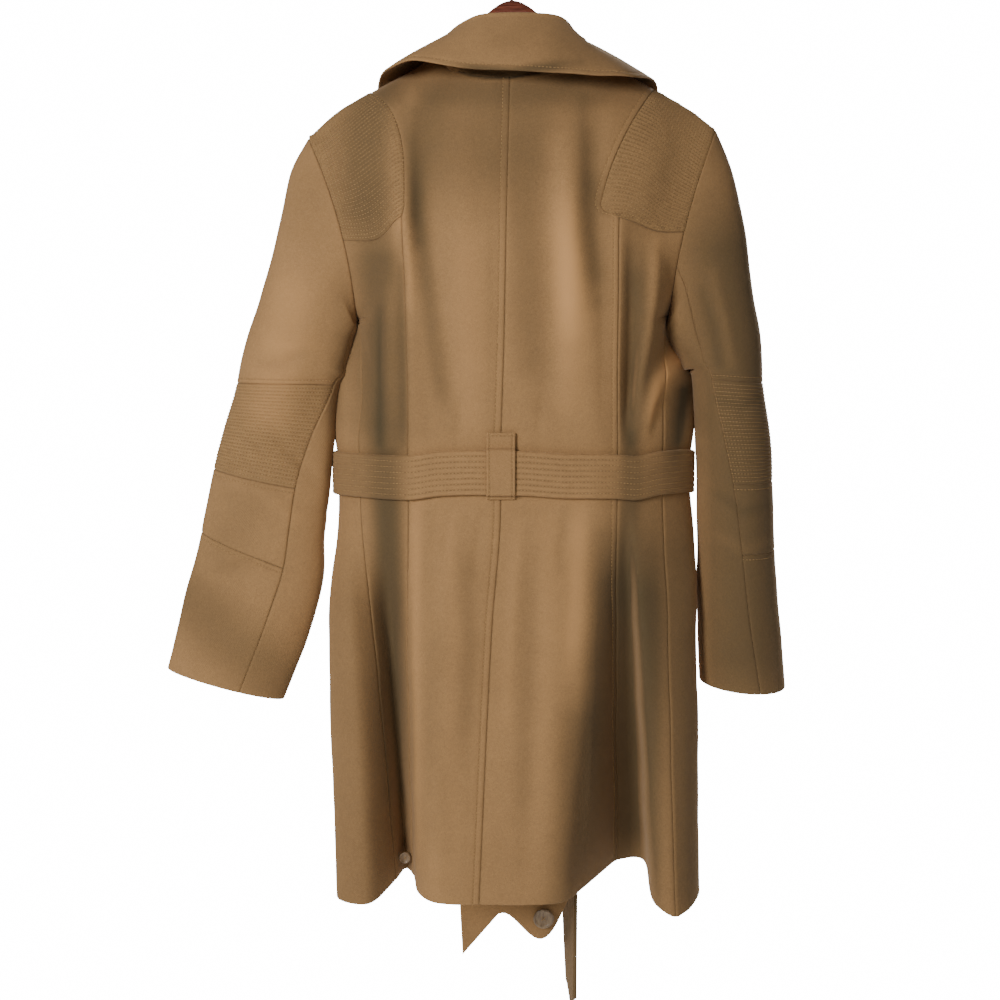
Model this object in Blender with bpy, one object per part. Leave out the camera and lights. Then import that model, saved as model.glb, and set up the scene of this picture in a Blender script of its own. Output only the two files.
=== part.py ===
"""A wool wrap coat hung on a wooden hanger, cut as a maker would cut it.

+Z is up, the coat's back faces +Y and +X is the wearer's left. The origin is the inner top of the
hanger's hook, where it rests on a rail. Tables are in millimetres, everything else is in metres.
"""

import math

import bpy
import numpy as np

MM = 0.001

# Cloth and seams
CLOTH = 2.5 * MM  # thickness of the felted wool
SEAM_GAP = 0.3 * MM  # between two pieces sewn together

# Heights of the level lines
PATCH_FOOT = -302 * MM  # lower edge of the shoulder patches, at the princess seams
CHEST = -415 * MM  # underarm
RIBS = -490 * MM
BELT_TOP = -560 * MM
BELT_FOOT = -617 * MM
HIP = -760 * MM

# Shoulders
RIDGE_SLOPE = 0.52  # fall of the shoulder line for each metre outward
RIDGE_TOP = {1: -76 * MM, -1: -71 * MM}  # height of the shoulder lines, carried to the middle
NECK_HALF = 80 * MM  # from the middle to the neck point of the shoulder
NECK_DROP = 36 * MM  # the neck seam at the centre back lies this far below the neck points

# Rows of the grid between the level lines
HEM_ROWS = 5
HIP_ROWS = 2
BELT_ROWS = 1
WAIST_ROWS = 3
ARM_ROWS = 4
YOKE_ROWS = 4
LINE_STEPS = 2  # steps of the grid from one line down the cloth to the next

# Lines down the cloth from the centre back round the wearer's left to the front edge: the x of
# the top end on the shoulder or neck, x and y at five levels, then x, y and z at the hem.
LEFT = (
    # line,          top, patch foot,  chest,      ribs,       belt,       hip,        hem
    ("centre_back",    2, (6, 84),     (8, 86),    (10, 83),   (12, 80),   (22, 88),   (37, 100, -1078)),
    ("neck",          55, (38, 84),    (38, 86),   (39, 83),   (40, 80),   (52, 89),   (66, 101, -1078)),
    ("back",          80, (76, 84),    (76, 85),   (77, 81),   (78, 78),   (86, 88),   (92, 96, -1077)),
    ("back_edge",    115, (102, 82),   (102, 83),  (102, 80),  (102, 76),  (109, 82),  (109, 74, -1076)),
    ("princess",     159, (119, 80),   (117, 80),  (116, 76),  (116, 73),  (119, 68),  (117, 32, -1074)),
    ("valley",       195, (148, 64),   (145, 63),  (145, 58),  (146, 60),  (141, 42),  (127, 10, -1074)),
    ("side",         227, (189, 42),   (173, 22),  (167, 34),  (173, 44),  (158, 63),  (137, 44, -1074)),
    ("bulge",        211, (181, -33),  (176, -3),  (190, 12),  (193, 24),  (182, 78),  (165, 95, -1080)),
    ("outer",        195, (172, -38),  (174, -16), (205, -20), (202, 0),   (211, 48),  (202, 80, -1080)),
    ("front_side",   159, (148, -42),  (156, -35), (184, -42), (180, -31), (194, -8),  (188, 18, -1078)),
    ("front",        115, (100, -44),  (100, -42), (106, -43), (110, -41), (115, -38), (118, -38, -1072)),
    ("front_edge",    80, (34, -40),   (0, -38),   (-24, -39), (-48, -40), (-50, -40), (-52, -38, -1070)),
)
RIGHT = (
    ("centre_back",    2, (6, 84),     (8, 86),    (10, 83),   (12, 80),   (22, 88),   (37, 100, -1078)),
    ("neck",         -55, (-34, 84),   (-34, 86),  (-32, 83),  (-30, 80),  (-20, 90),  (-16, 101, -1078)),
    ("back",         -80, (-66, 84),   (-68, 86),  (-68, 82),  (-68, 79),  (-60, 91),  (-60, 94, -1078)),
    ("back_edge",   -118, (-94, 82),   (-98, 84),  (-98, 80),  (-98, 77),  (-96, 84),  (-86, 56, -1078)),
    ("princess",    -161, (-117, 80),  (-117, 81), (-118, 76), (-119, 73), (-121, 55), (-134, -24, -1078)),
    ("valley",      -178, (-134, 72),  (-131, 68), (-130, 62), (-129, 70), (-138, 46), (-162, -30, -1078)),
    ("ridge",       -200, (-162, 58),  (-152, 70), (-142, 72), (-140, 67), (-147, 84), (-167, 88, -1084)),
    ("side",        -231, (-188, 42),  (-176, 22), (-170, 46), (-172, 50), (-178, 74), (-189, 102, -1092)),
    ("outer",       -215, (-180, -34), (-178, -14), (-213, -22), (-208, 2), (-215, 36), (-223, 56, -1082)),
    ("front_side",  -195, (-164, -42), (-160, -35), (-184, -43), (-188, -33), (-202, -18), (-206, -8, -1080)),
    ("front",       -159, (-130, -48), (-128, -46), (-134, -47), (-140, -46), (-146, -48), (-140, -52, -1086)),
    ("fold",        -118, (-84, -50),  (-78, -50), (-79, -51), (-80, -52), (-82, -58), (-84, -62, -1130)),
    ("scoop",       -100, (-60, -50),  (-48, -51), (-41, -53), (-34, -53), (-38, -50), (-40, -44, -1190)),
    ("corner",       -90, (-46, -48),  (-24, -53), (-4, -54),  (16, -53),  (14, -56),  (10, -62, -1164)),
    ("front_edge",   -80, (-34, -46),  (2, -55),   (34, -55),  (66, -52),  (80, -58),  (61, -50, -1214)),
)
# How the shoulder patch's inner edge leaves the princess seam and leans out to the shoulder
PATCH = {1: {"corner": 3 * MM, "lean": 4.5}, -1: {"corner": 21 * MM, "lean": 1.7}}
ARM_FOOT = {1: -325 * MM, -1: -316 * MM}  # lower edge of the patches, at the armholes

# Sections of the sleeves, from the armhole to the cuff: the middle, half the width and depth, the
# turn of the width from level in degrees, how far the middle of the seam bows in toward the body,
# and the places of the back and front seams round the section, 0 on the outside and 90 at the back.
SLEEVES = {
    1: (
        # section,    x,   y,   z,  width, depth, turn, bow, back_seam, front_seam
        ("armhole",  203,  5, -310, 105,   40,    75.5, 12,  159.5,     241.5),
        ("head",     216,  5, -332,  94,   39,    69,   8,   160,       242),
        ("cap",      227,  6, -372,  76,   37,    60,   3,   162,       244),
        ("arm",      245,  8, -434,  58,   35,    35,   0,   165,       247),
        ("seam_1",   261, 10, -485,  56,   34,    1,    0,   160,       250),
        ("elbow",    273, 10, -541,  61,   33,    4,    0,   136,       250),
        ("seam_2",   282,  8, -598,  67,   31,    12,   0,   121,       250),
        ("bend",     288,  6, -643,  72,   29,    18,   0,   117,       250),
        ("seam_3",   294,  5, -688,  77,   28,    22,   0,   114,       250),
        ("forearm",  313,  5, -758,  77,   26,    17.5, 0,   110,       250),
        ("cuff",     341,  5, -843,  72,   25,    15.4, 0,   107,       250),
    ),
    -1: (
        ("armhole", -205,  5, -304, 108,   40,    76.5, 10,  118.5,     241.5),
        ("head",    -216,  5, -328,  96,   41,    71,   7,   121,       242),
        ("cap",     -228,  6, -366,  76,   43,    62,   3,   126,       244),
        ("arm",     -242,  8, -428,  50,   48,    42,   0,   132,       247),
        ("seam_1",  -253, 10, -481,  36.5, 53,    -4,   0,   134,       250),
        ("elbow",   -261, 10, -545,  39,   56,    -1,   0,   122,       250),
        ("seam_2",  -264,  8, -597,  40,   57,    0,    0,   110,       250),
        ("bend",    -266,  6, -640,  41,   57,    0,    0,   102,       250),
        ("seam_3",  -268,  4, -678,  42,   57,    0,    0,   97,        250),
        ("forearm", -272,  2, -760,  46,   57,    -1,   0,   87,        250),
        ("cuff",    -278,  2, -842,  50,   57,    -3,   0,   77,        250),
    ),
}
SECTION_ROWS = (1, 1, 1, 1, 1, 1, 1, 1, 1, 2)  # grid rows between one section and the next
PANEL_ENDS = (("upper", "seam_1"), ("elbow_quilted", "seam_2"), ("elbow_plain", "seam_3"), ("forearm", "cuff"))

# Sections of the collar and lapels. The place is 0 at the centre back, 1 at the neck point, 2 level
# with the patches' foot, 3 at the underarm and 4 at the belt. The fold is measured from the seam and
# the edge from the fold: outward, toward the back, and up.
ROLL = 6 * MM  # radius of the turned cloth at the fold
COLLAR = {
    1: (
        # place, fold,           edge
        (0.0,    (0, -18, 76),   (0, 48, -68)),
        (0.5,    (-3, -16, 53),  (32, 53, -49)),
        (0.8,    (-1, -12, 34),  (49, 52, -37)),
        (1.0,    (2, -8, 22),    (59, 36, -41)),
        (1.2,    (6, -9, 15),    (65, 18, -33)),
        (1.5,    (8, -12, 9),    (78, -4, -15)),
        (1.75,   (-2, -10, 6),   (100, -7, 10)),
        (2.0,    (-6, -8, 2),    (116, -12, 22)),
        (2.3,    (-8, -6, 0),    (100, -12, 20)),
        (2.75,   (-8, -6, 0),    (62, -9, 10)),
        (3.0,    (-6, -5, 0),    (30, -8, 4)),
    ),
    -1: (
        (0.0,    (0, -18, 76),   (0, 48, -68)),
        (0.5,    (-1, -16, 55),  (31, 53, -66)),
        (0.8,    (-2, -12, 29),  (55, 56, -53)),
        (1.0,    (0, -8, 20),    (70, 43, -52)),
        (1.2,    (6, -9, 15),    (84, 20, -40)),
        (1.5,    (8, -12, 9),    (92, -4, -23)),
        (1.75,   (-2, -10, 6),   (104, -7, 2)),
        (2.0,    (-6, -8, 2),    (118, -10, 16)),
        (2.3,    (-8, -6, 0),    (106, -10, 18)),
        (3.0,    (-8, -6, 0),    (80, -8, 12)),
        (3.8,    (-8, -6, 0),    (16, -8, 6)),
    ),
}
LAPEL_TOP = 1.75  # place of the seam between the collar and a lapel
LAPEL_END = {1: 3.0, -1: 4.0}  # the left lapel stops where the right front laps over it

# Belt
BELT_WIDTH = 50 * MM
BELT_THICK = 5 * MM
BELT_OFF = 2.5 * MM  # how far its inner face stands off the cloth
BELT_STEPS = 2  # steps between two of the lines that it crosses
KNOT = {"x": -64 * MM, "width": 44 * MM, "height": 58 * MM, "depth": 22 * MM}
# Tails: place, and the turn of the band's width from the X axis in degrees
LONG_TAIL = (
    # x,   y,    z,    turn
    (-70, -84,  -618,  -18),
    (-72, -85,  -700,  -24),
    (-74, -88,  -840,  -36),
    (-76, -92,  -980,  -56),
    (-77, -94, -1080,  -70),
    (-78, -92, -1180,  -74),
    (-80, -90, -1270,  -80),
    (-81, -90, -1300,  -82),
)
SHORT_TAIL = (
    (-54, -67,  -618,  4),
    (-40, -67,  -690,  6),
    (-32, -70,  -800,  6),
    (-30, -72,  -880,  6),
)
LOOP_WIDTH = 32 * MM
LOOP_REACH = {"low": 6 * MM, "high": 19 * MM}  # how far the belt loop runs past the belt's edges

# Buttons: place of the middle of the back face, diameter, and length of the thread shank behind it
BUTTONS = {
    "button_large": {"place": (-42, -38, -1160), "across": 26, "shank": 2},
    "button_small": {"place": (126.5, 33, -1049), "across": 14, "shank": 12},
}
SHANK_RADIUS = 1.6 * MM
BUTTON_THICK = 4 * MM
BUTTON_SIDES = 20

# Hanger
HOOK_INSIDE = 18 * MM  # inner radius of the hook
WIRE = 2 * MM  # radius of the hook's wire
HANGER_END = 203 * MM
HANGER_DROP = 7.5 * MM  # the wood's top lies this far below the cloth's outer face
HANGER_NECK = {"rise": 23 * MM, "half": 36 * MM}  # the hump that carries the hook
HANGER_MIDDLE = {"height": 34 * MM, "thick": 13 * MM}
HANGER_TIP = {"height": 26 * MM, "thick": 22 * MM}

COLOURS = {
    # colour,                 roughness, metallic
    "wool": ((0.33, 0.19, 0.078), 0.95, 0.0),
    "button": ((0.26, 0.16, 0.08), 0.4, 0.0),
    "wood": ((0.12, 0.02, 0.008), 0.3, 0.0),
    "steel": ((0.6, 0.6, 0.6), 0.25, 1.0),
}


# ---------------------------------------------------------------- curves and walls


def unit(vectors):
    length = np.linalg.norm(vectors, axis=-1, keepdims=True)
    return vectors / np.maximum(length, 1e-12)


def smooth(knots, values, at):
    """A curve through values that never swings past them; values may have several columns."""
    knots = np.asarray(knots, float)
    values = np.asarray(values, float)
    values = values.reshape(len(knots), -1)
    step = np.diff(knots)[:, None]
    slope = np.diff(values, axis=0) / step
    tangent = np.zeros_like(values)
    tangent[0] = slope[0]
    tangent[-1] = slope[-1]
    both = slope[:-1] * slope[1:]
    safe = np.where(both > 0, slope[:-1] + slope[1:], 1.0)
    tangent[1:-1] = np.where(both > 0, 2 * both / safe, 0.0)
    at = np.clip(np.asarray(at, float), knots[0], knots[-1])
    span = np.clip(np.searchsorted(knots, at, side="right") - 1, 0, len(knots) - 2)
    width = step[span]
    t = (at[:, None] - knots[span][:, None]) / width
    start = (1 + 2 * t) * (1 - t) ** 2 * values[span] + t * (1 - t) ** 2 * width * tangent[span]
    end = t * t * (3 - 2 * t) * values[span + 1] - t * t * (1 - t) * width * tangent[span + 1]
    return start + end


def through(points, steps, before=None, after=None):
    """Rounded curves through points[line, row, xyz], with so many steps from one line to the next."""
    before = 2 * points[0] - points[1] if before is None else before
    after = 2 * points[-1] - points[-2] if after is None else after
    held = np.concatenate([before[None], points, after[None]])
    gaps = np.sqrt(np.maximum(np.linalg.norm(np.diff(held, axis=0), axis=-1, keepdims=True), 1e-6))
    found = []
    for i in range(len(points) - 1):
        p0, p1, p2, p3 = held[i : i + 4]
        d0, d1, d2 = gaps[i : i + 3]
        leave = (p1 - p0) / d0 - (p2 - p0) / (d0 + d1) + (p2 - p1) / d1
        arrive = (p2 - p1) / d1 - (p3 - p1) / (d1 + d2) + (p3 - p2) / d2
        for k in range(steps[i]):
            t = k / steps[i]
            hermite = (1 + 2 * t) * (1 - t) ** 2 * p1 + t * t * (3 - 2 * t) * p2
            found.append(hermite + d1 * (t * (1 - t) ** 2 * leave - t * t * (1 - t) * arrive))
    found.append(points[-1])
    return np.array(found)


def normals_of(grid):
    across = np.gradient(grid, axis=0)
    along = np.gradient(grid, axis=1)
    return unit(np.cross(across, along))


def shrunk(grid, ends):
    """The grid with its named edges drawn back by half a seam's gap."""
    grid = grid.copy()
    back = SEAM_GAP / 2
    moves = {
        "first": (np.s_[0], np.s_[1]),
        "last": (np.s_[-1], np.s_[-2]),
        "low": (np.s_[:, 0], np.s_[:, 1]),
        "high": (np.s_[:, -1], np.s_[:, -2]),
    }
    for end in ends:
        edge, inner = moves[end]
        grid[edge] = grid[edge] + back * unit(grid[inner] - grid[edge])
    return grid


def wall(name, grid, normals, material, thick=CLOTH, ends=("first", "last", "low", "high")):
    """A sheet of the given thickness under a grid of points[across, along]."""
    outer = shrunk(grid, ends)
    inner = outer - thick * normals
    across, along = outer.shape[:2]
    points = np.concatenate([outer.reshape(-1, 3), inner.reshape(-1, 3)])
    index = np.arange(across * along).reshape(across, along)
    under = index + across * along
    faces = []
    for i in range(across - 1):
        for j in range(along - 1):
            a, b, c, d = index[i, j], index[i + 1, j], index[i + 1, j + 1], index[i, j + 1]
            faces.append((a, b, c, d))
            e, f, g, h = under[i, j], under[i + 1, j], under[i + 1, j + 1], under[i, j + 1]
            faces.append((h, g, f, e))
    there = [index[i, 0] for i in range(across)] + [index[-1, j] for j in range(1, along)]
    back = [index[i, -1] for i in range(across - 1, -1, -1)] + [index[0, j] for j in range(along - 2, -1, -1)]
    shift = across * along
    for a, b in zip(there, there[1:]):
        faces.append((b, a, a + shift, b + shift))
    for a, b in zip(back, back[1:]):
        faces.append((a, a + shift, b + shift, b))  # split along the same diagonal as the piece it meets
    return solid(name, points, faces, material)


def solid(name, points, faces, material, round_over=40):
    """A named object made of points and faces, with its faces turned outward."""
    mesh = bpy.data.meshes.new(name)
    mesh.from_pydata([tuple(map(float, p)) for p in points], [], [tuple(map(int, f)) for f in faces])
    volume = sum(np.dot(points[f[0]], np.cross(points[f[i]], points[f[i + 1]]))
                 for f in faces for i in range(1, len(f) - 1))
    if volume < 0:
        mesh.flip_normals()
    mesh.shade_smooth()
    mesh.set_sharp_from_angle(angle=math.radians(round_over))
    mesh.materials.append(material)
    made = bpy.data.objects.new(name, mesh)
    bpy.context.scene.collection.objects.link(made)
    return made


def rings(name, loops, material, closed=False):
    """A solid through rings of points, with flat ends, or joined end to end when closed."""
    count = len(loops[0])
    points = np.concatenate(loops)
    faces = []
    pairs = len(loops) if closed else len(loops) - 1
    for k in range(pairs):
        here = k * count
        there = (k + 1) % len(loops) * count
        for i in range(count):
            j = (i + 1) % count
            faces.append((here + i, here + j, there + j, there + i))
    if not closed:
        faces.append(tuple(range(count))[::-1])
        faces.append(tuple((len(loops) - 1) * count + i for i in range(count)))
    return solid(name, points, faces, material)


# ---------------------------------------------------------------- the body of the coat


def ridge(side, x):
    """Height of the shoulder line, which rounds off over the end of the hanger."""
    out = abs(x)
    end = min(max((out - 0.19) / 0.038, 0.0), 1.0)
    return RIDGE_TOP[side] - RIDGE_SLOPE * out - 0.0125 * end * end


def top_height(side, x):
    """The neck seam between the neck points, and the shoulder line outside them."""
    out = abs(x)
    if out >= NECK_HALF:
        return ridge(side, x)
    dip = math.sqrt(1 - (out / NECK_HALF) ** 2)
    return ridge(side, NECK_HALF) - NECK_DROP * dip


def sleeve_section(side, place):
    """Middle, width direction, half sizes and bow of the sleeve at a place counted in sections."""
    rows = np.array([row[1:] for row in SLEEVES[side]], float)
    row = smooth(range(len(rows)), rows, [place])[0]
    turn = math.radians(row[5])
    width_way = np.array([side * math.cos(turn), 0.0, math.sin(turn)])
    return row[:3] * MM, width_way, row[3] * MM, row[4] * MM, row[6] * MM, row[7], row[8]


def sleeve_point(side, place, angle):
    """A point of the sleeve's outer face; angle is 0 on the outside, 90 at the back."""
    middle, width_way, width, depth, bow, _, _ = sleeve_section(side, place)
    c = math.cos(math.radians(angle))
    s = math.sin(math.radians(angle))
    inward = np.array([-side * bow * s * s, 0.0, 0.0])
    return middle + width_way * width * c + np.array([0.0, depth * s, 0.0]) + inward


def armhole_normal(side, angle):
    _, width_way, width, depth, _, _, _ = sleeve_section(side, 0)
    c = math.cos(math.radians(angle))
    s = math.sin(math.radians(angle))
    return unit(width_way * c / width + np.array([0.0, s / depth, 0.0]))


def foot_angle(side):
    """Where the patch's lower edge meets the armhole, as an angle round the armhole."""
    middle, width_way, width, _, _, _, _ = sleeve_section(side, 0)
    return math.degrees(math.acos((ARM_FOOT[side] - middle[2]) / (width * width_way[2])))


def armhole_angles(side):
    """Angles down the back of the armhole at each grid row from the underarm to the shoulder."""
    foot = foot_angle(side)
    low = [180 + (foot - 180) * k / ARM_ROWS for k in range(ARM_ROWS)]
    high = [foot * (1 - k / YOKE_ROWS) for k in range(YOKE_ROWS + 1)]
    return low + high


def line_points(side, line):
    """The grid rows of one line down the cloth, from the hem to its top."""
    name, top, foot, chest, ribs, belt, hip, hem = line
    hem_z = hem[2] * MM
    foot_z = PATCH_FOOT
    knots = [hem_z, HIP, BELT_FOOT, BELT_TOP, RIBS, CHEST, foot_z]
    values = np.array([hem[:2], hip, belt, belt, ribs, chest, foot], float) * MM
    heights = []
    spans = ((hem_z, HIP, HEM_ROWS), (HIP, BELT_FOOT, HIP_ROWS), (BELT_FOOT, BELT_TOP, BELT_ROWS),
             (BELT_TOP, CHEST, WAIST_ROWS), (CHEST, foot_z, ARM_ROWS))
    for low, high, rows in spans:
        heights += [low + (high - low) * k / rows for k in range(rows)]
    found = [np.array([x, y, z]) for (x, y), z in zip(smooth(knots, values, heights), heights)]
    top_x = top * MM
    foot_x, foot_y = values[-1]
    top_z = top_height(side, top_x)
    for k in range(YOKE_ROWS + 1):
        rise = math.sin(math.pi / 2 * k / YOKE_ROWS)
        z = foot_z + (top_z - foot_z) * rise
        share = rise
        x = foot_x + (top_x - foot_x) * share
        if name == "princess":
            corner = PATCH[side]["corner"] * min(3 * share, 1.0)
            x = foot_x + side * -corner + (top_x - foot_x + side * corner) * share ** PATCH[side]["lean"]
        reach = (z - foot_z) / (ridge(side, x) - foot_z)
        y = foot_y * math.sqrt(max(1 - reach * reach, 0.0))
        found.append(np.array([x, y, z]))
    return np.array(found)


UNDERARM = HEM_ROWS + HIP_ROWS + BELT_ROWS + WAIST_ROWS
FOOT_ROW = UNDERARM + ARM_ROWS
TOP_ROW = FOOT_ROW + YOKE_ROWS
BELT_ROW = HEM_ROWS + HIP_ROWS


def lower_to_armhole(points, start, patch_x, side):
    """Lines between the princess seam and the armhole share the slope of the patch's lower edge."""
    for j in range(UNDERARM, TOP_ROW):
        share = 1 - abs(j - FOOT_ROW) / (ARM_ROWS if j < FOOT_ROW else YOKE_ROWS)
        for line in points[start:]:
            out = (abs(line[j, 0]) - patch_x) / (abs(points[-1][j, 0]) - patch_x)
            line[j, 2] += (ARM_FOOT[side] - PATCH_FOOT) * share * min(max(out, 0.0), 1.0)


def grids():
    """Grids of points and normals for the back and each front, as {name: (points, columns)}."""
    found = {}
    ghosts = {}
    for side, table in ((1, LEFT), (-1, RIGHT)):
        names = [row[0] for row in table]
        lines = np.array([line_points(side, row) for row in table])
        seam = names.index("side")
        princess = names.index("princess")
        back = lines[: seam + 1].copy()
        front = lines[seam:].copy()
        for k, angle in enumerate(armhole_angles(side)):
            back[-1, UNDERARM + k] = sleeve_point(side, 0, angle)
            front[0, UNDERARM + k] = sleeve_point(side, 0, 360 - angle)
        lower_to_armhole(back[:-1], princess + 1, abs(back[princess, FOOT_ROW, 0]), side)
        found[side] = (names, back, front)
        ghosts[side] = (back[-2], front[1])
    return found, ghosts


def open_ghost(points, neighbour):
    """The neighbour's line below the underarm, and the line's own run above it."""
    ghost = 2 * points[0] - points[1]
    ghost[: UNDERARM + 1] = neighbour[: UNDERARM + 1]
    return ghost


def seat_top(dense):
    """Puts the top of every column on the neck seam or the shoulder line."""
    for column in dense:
        top = column[TOP_ROW]
        side = 1 if top[0] >= 0 else -1
        if abs(top[0]) >= NECK_HALF - 1e-6:
            top[1] = 0.0
            top[2] = ridge(side, top[0])
        else:
            top[2] = top_height(side, top[0])
            foot = column[FOOT_ROW]
            reach = (top[2] - foot[2]) / (ridge(side, top[0]) - foot[2])
            top[1] = foot[1] * math.sqrt(max(1 - reach * reach, 0.0))


def body_grids(steps):
    """The dense grid of the back from left to right, and of each front from its side seam."""
    found, ghosts = grids()
    names_l, back_l, front_l = found[1]
    names_r, back_r, front_r = found[-1]
    middle = (back_l[0] + back_r[0]) / 2
    back = np.concatenate([back_l[:0:-1], middle[None], back_r[1:]])
    names = [n + "_left" for n in names_l[len(back_l) - 1 : 0 : -1]] + ["centre_back"]
    names += [n + "_right" for n in names_r[1 : len(back_r)]]
    spans = [steps] * (len(back) - 1)
    before = open_ghost(back, ghosts[1][1])
    after = open_ghost(back[::-1], ghosts[-1][1])
    dense = through(back, spans, before, after)
    seat_top(dense[1:-1])
    made = {"back": (dense, {n: i * steps for i, n in enumerate(names)})}
    for side, front, all_names in ((1, front_l, names_l), (-1, front_r, names_r)):
        before = open_ghost(front, ghosts[side][0])
        dense = through(front, [steps] * (len(front) - 1), before)
        seat_top(dense[1:])
        front_names = all_names[len(all_names) - len(front) :]
        made[side] = (dense, {n: i * steps for i, n in enumerate(front_names)})
    return made


def body_normals(made):
    """Outward normals, shared where two pieces meet."""
    back = normals_of(made["back"][0])
    fronts = {1: -normals_of(made[1][0]), -1: normals_of(made[-1][0])}
    middle = made["back"][1]["centre_back"]
    if back[middle, UNDERARM, 1] < 0:
        back = -back
    for side in (1, -1):
        if fronts[side][-1, UNDERARM, 1] > 0:
            fronts[side] = -fronts[side]
        edge = 0 if side == 1 else -1
        shared = unit(back[edge, : UNDERARM + 1] + fronts[side][0, : UNDERARM + 1])
        back[edge, : UNDERARM + 1] = shared
        fronts[side][0, : UNDERARM + 1] = shared
        for k, angle in enumerate(armhole_angles(side)):
            back[edge, UNDERARM + k] = armhole_normal(side, angle)
            fronts[side][0, UNDERARM + k] = armhole_normal(side, 360 - angle)
    back[:, TOP_ROW] = ridge_normals(made["back"][0][:, TOP_ROW], back[:, TOP_ROW])
    for side in (1, -1):
        fronts[side][:, TOP_ROW] = ridge_normals(made[side][0][:, TOP_ROW], fronts[side][:, TOP_ROW])
    return back, fronts


def ridge_normals(points, normals):
    """Normals of the shoulder seam lie in its own upright plane, so that its two edges stay apart."""
    flat = normals.copy()
    outside = np.abs(points[:, 0]) >= NECK_HALF - 1e-6
    flat[outside, 1] = 0.0
    flat[outside, 2] = np.abs(flat[outside, 2]) + 0.2
    return unit(flat)


def body_pieces(wool):
    """Back, side backs, shoulder patches and fronts. It returns the grids for what is made on them."""
    made = body_grids(LINE_STEPS)
    back_normals, front_normals = body_normals(made)
    back, at = made["back"]
    panels = (
        ("back_left", "princess_left", "centre_back", 0, TOP_ROW),
        ("back_right", "centre_back", "princess_right", 0, TOP_ROW),
        ("side_back_left", "side_left", "princess_left", 0, FOOT_ROW),
        ("side_back_right", "princess_right", "side_right", 0, FOOT_ROW),
        ("shoulder_patch_left", "side_left", "princess_left", FOOT_ROW, TOP_ROW),
        ("shoulder_patch_right", "princess_right", "side_right", FOOT_ROW, TOP_ROW),
    )
    for name, start, stop, low, high in panels:
        part = np.s_[at[start] : at[stop] + 1, low : high + 1]
        wall(name, back[part], back_normals[part], wool)
    for side, name in ((1, "front_left"), (-1, "front_right")):
        wall(name, made[side][0], front_normals[side], wool)
    return made, back_normals, front_normals


# ---------------------------------------------------------------- sleeves


def sleeve(side, name, wool):
    angles = armhole_angles(side)
    start = [a for a in angles] + [-a for a in angles[-2::-1]]
    places = [0.0]
    for k, rows in enumerate(SECTION_ROWS):
        places += [k + (j + 1) / rows for j in range(rows)]
    back0, front0 = SLEEVES[side][0][8], SLEEVES[side][0][9] - 360
    ring = sorted(set(round(a, 4) for a in start if a > -179.9))
    back_at = min(range(len(ring)), key=lambda i: abs(ring[i] - back0))
    front_at = min(range(len(ring)), key=lambda i: abs(ring[i] - front0))
    count = len(ring)
    order = [(front_at + k) % count for k in range(count)] + [front_at]
    turned = [ring[i] + (360 if k + front_at >= count else 0) for k, i in enumerate(order)]
    seam = (back_at - front_at) % count
    grid = []
    for place in places:
        row = sleeve_section(side, place)
        back_seam, front_seam = row[5], row[6] - 360
        first, middle, last = turned[0], turned[seam], turned[0] + 360
        if place == 0:
            back_seam, front_seam = middle, first
        there = []
        for k, a in enumerate(turned):
            if k <= seam:
                share = (a - first) / (middle - first)
                there.append(front_seam + share * (back_seam - front_seam))
            else:
                share = (a - middle) / (last - middle)
                there.append(back_seam + share * (front_seam + 360 - back_seam))
        grid.append([sleeve_point(side, place, a) for a in there])
    grid = np.array(grid).transpose(1, 0, 2)
    around = np.concatenate([grid[-2:-1], grid, grid[1:2]])
    normals = normals_of(around)[1:-1] * side
    normals[0] = normals[-1] = unit(normals[0] + normals[-1])
    if normals[seam, -1, 1] < 0:
        normals = -normals
    for k, a in enumerate(turned):
        normals[k, 0] = armhole_normal(side, a)
    row_of = {"armhole": 0}
    total = 0
    for k, rows in enumerate(SECTION_ROWS):
        total += rows
        row_of[SLEEVES[side][k + 1][0]] = total
    low = 0
    for panel, end in PANEL_ENDS:
        high = row_of[end]
        part = np.s_[: seam + 1, low : high + 1]
        wall(f"sleeve_{name}_{panel}", grid[part], normals[part], wool)
        low = high
    wall(f"sleeve_{name}_under", grid[seam:], normals[seam:], wool)


# ---------------------------------------------------------------- collar and lapels


def collar_profile(seam, seam_normal, fold, edge, inner_steps, outer_steps):
    """Points from the seam up the stand, round the fold and down to the edge."""
    start = seam - CLOTH * seam_normal
    apex = seam + fold
    tip = apex + edge
    up = unit(apex - start)
    start = start + SEAM_GAP * up
    out = edge - np.dot(edge, up) * up
    out = unit(out)
    centre = apex - ROLL * up
    points = [start + (centre - ROLL * out - start) * k / inner_steps for k in range(inner_steps)]
    for turn in (180, 135, 90, 45):
        a = math.radians(turn)
        points.append(centre + ROLL * (math.cos(a) * out + math.sin(a) * up))
    leave = centre + ROLL * out
    for k in range(outer_steps + 1):
        t = k / outer_steps
        bow = 4 * t * (1 - t) * 4 * MM
        points.append(leave + (tip - leave) * t + bow * out)
    return points


def collar_section(place, point, normal):
    """The collar's points at a place, which is below 0 on the wearer's right."""
    side = 1 if place >= 0 else -1
    rows = np.array([(row[0],) + row[1] + row[2] for row in COLLAR[side]], float)
    measured = smooth(rows[:, 0], rows[:, 1:], [abs(place)])[0] * MM
    mirror = np.array([side, 1.0, 1.0])
    return collar_profile(point, normal, measured[:3] * mirror, measured[3:] * mirror, 1, 3)


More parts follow.
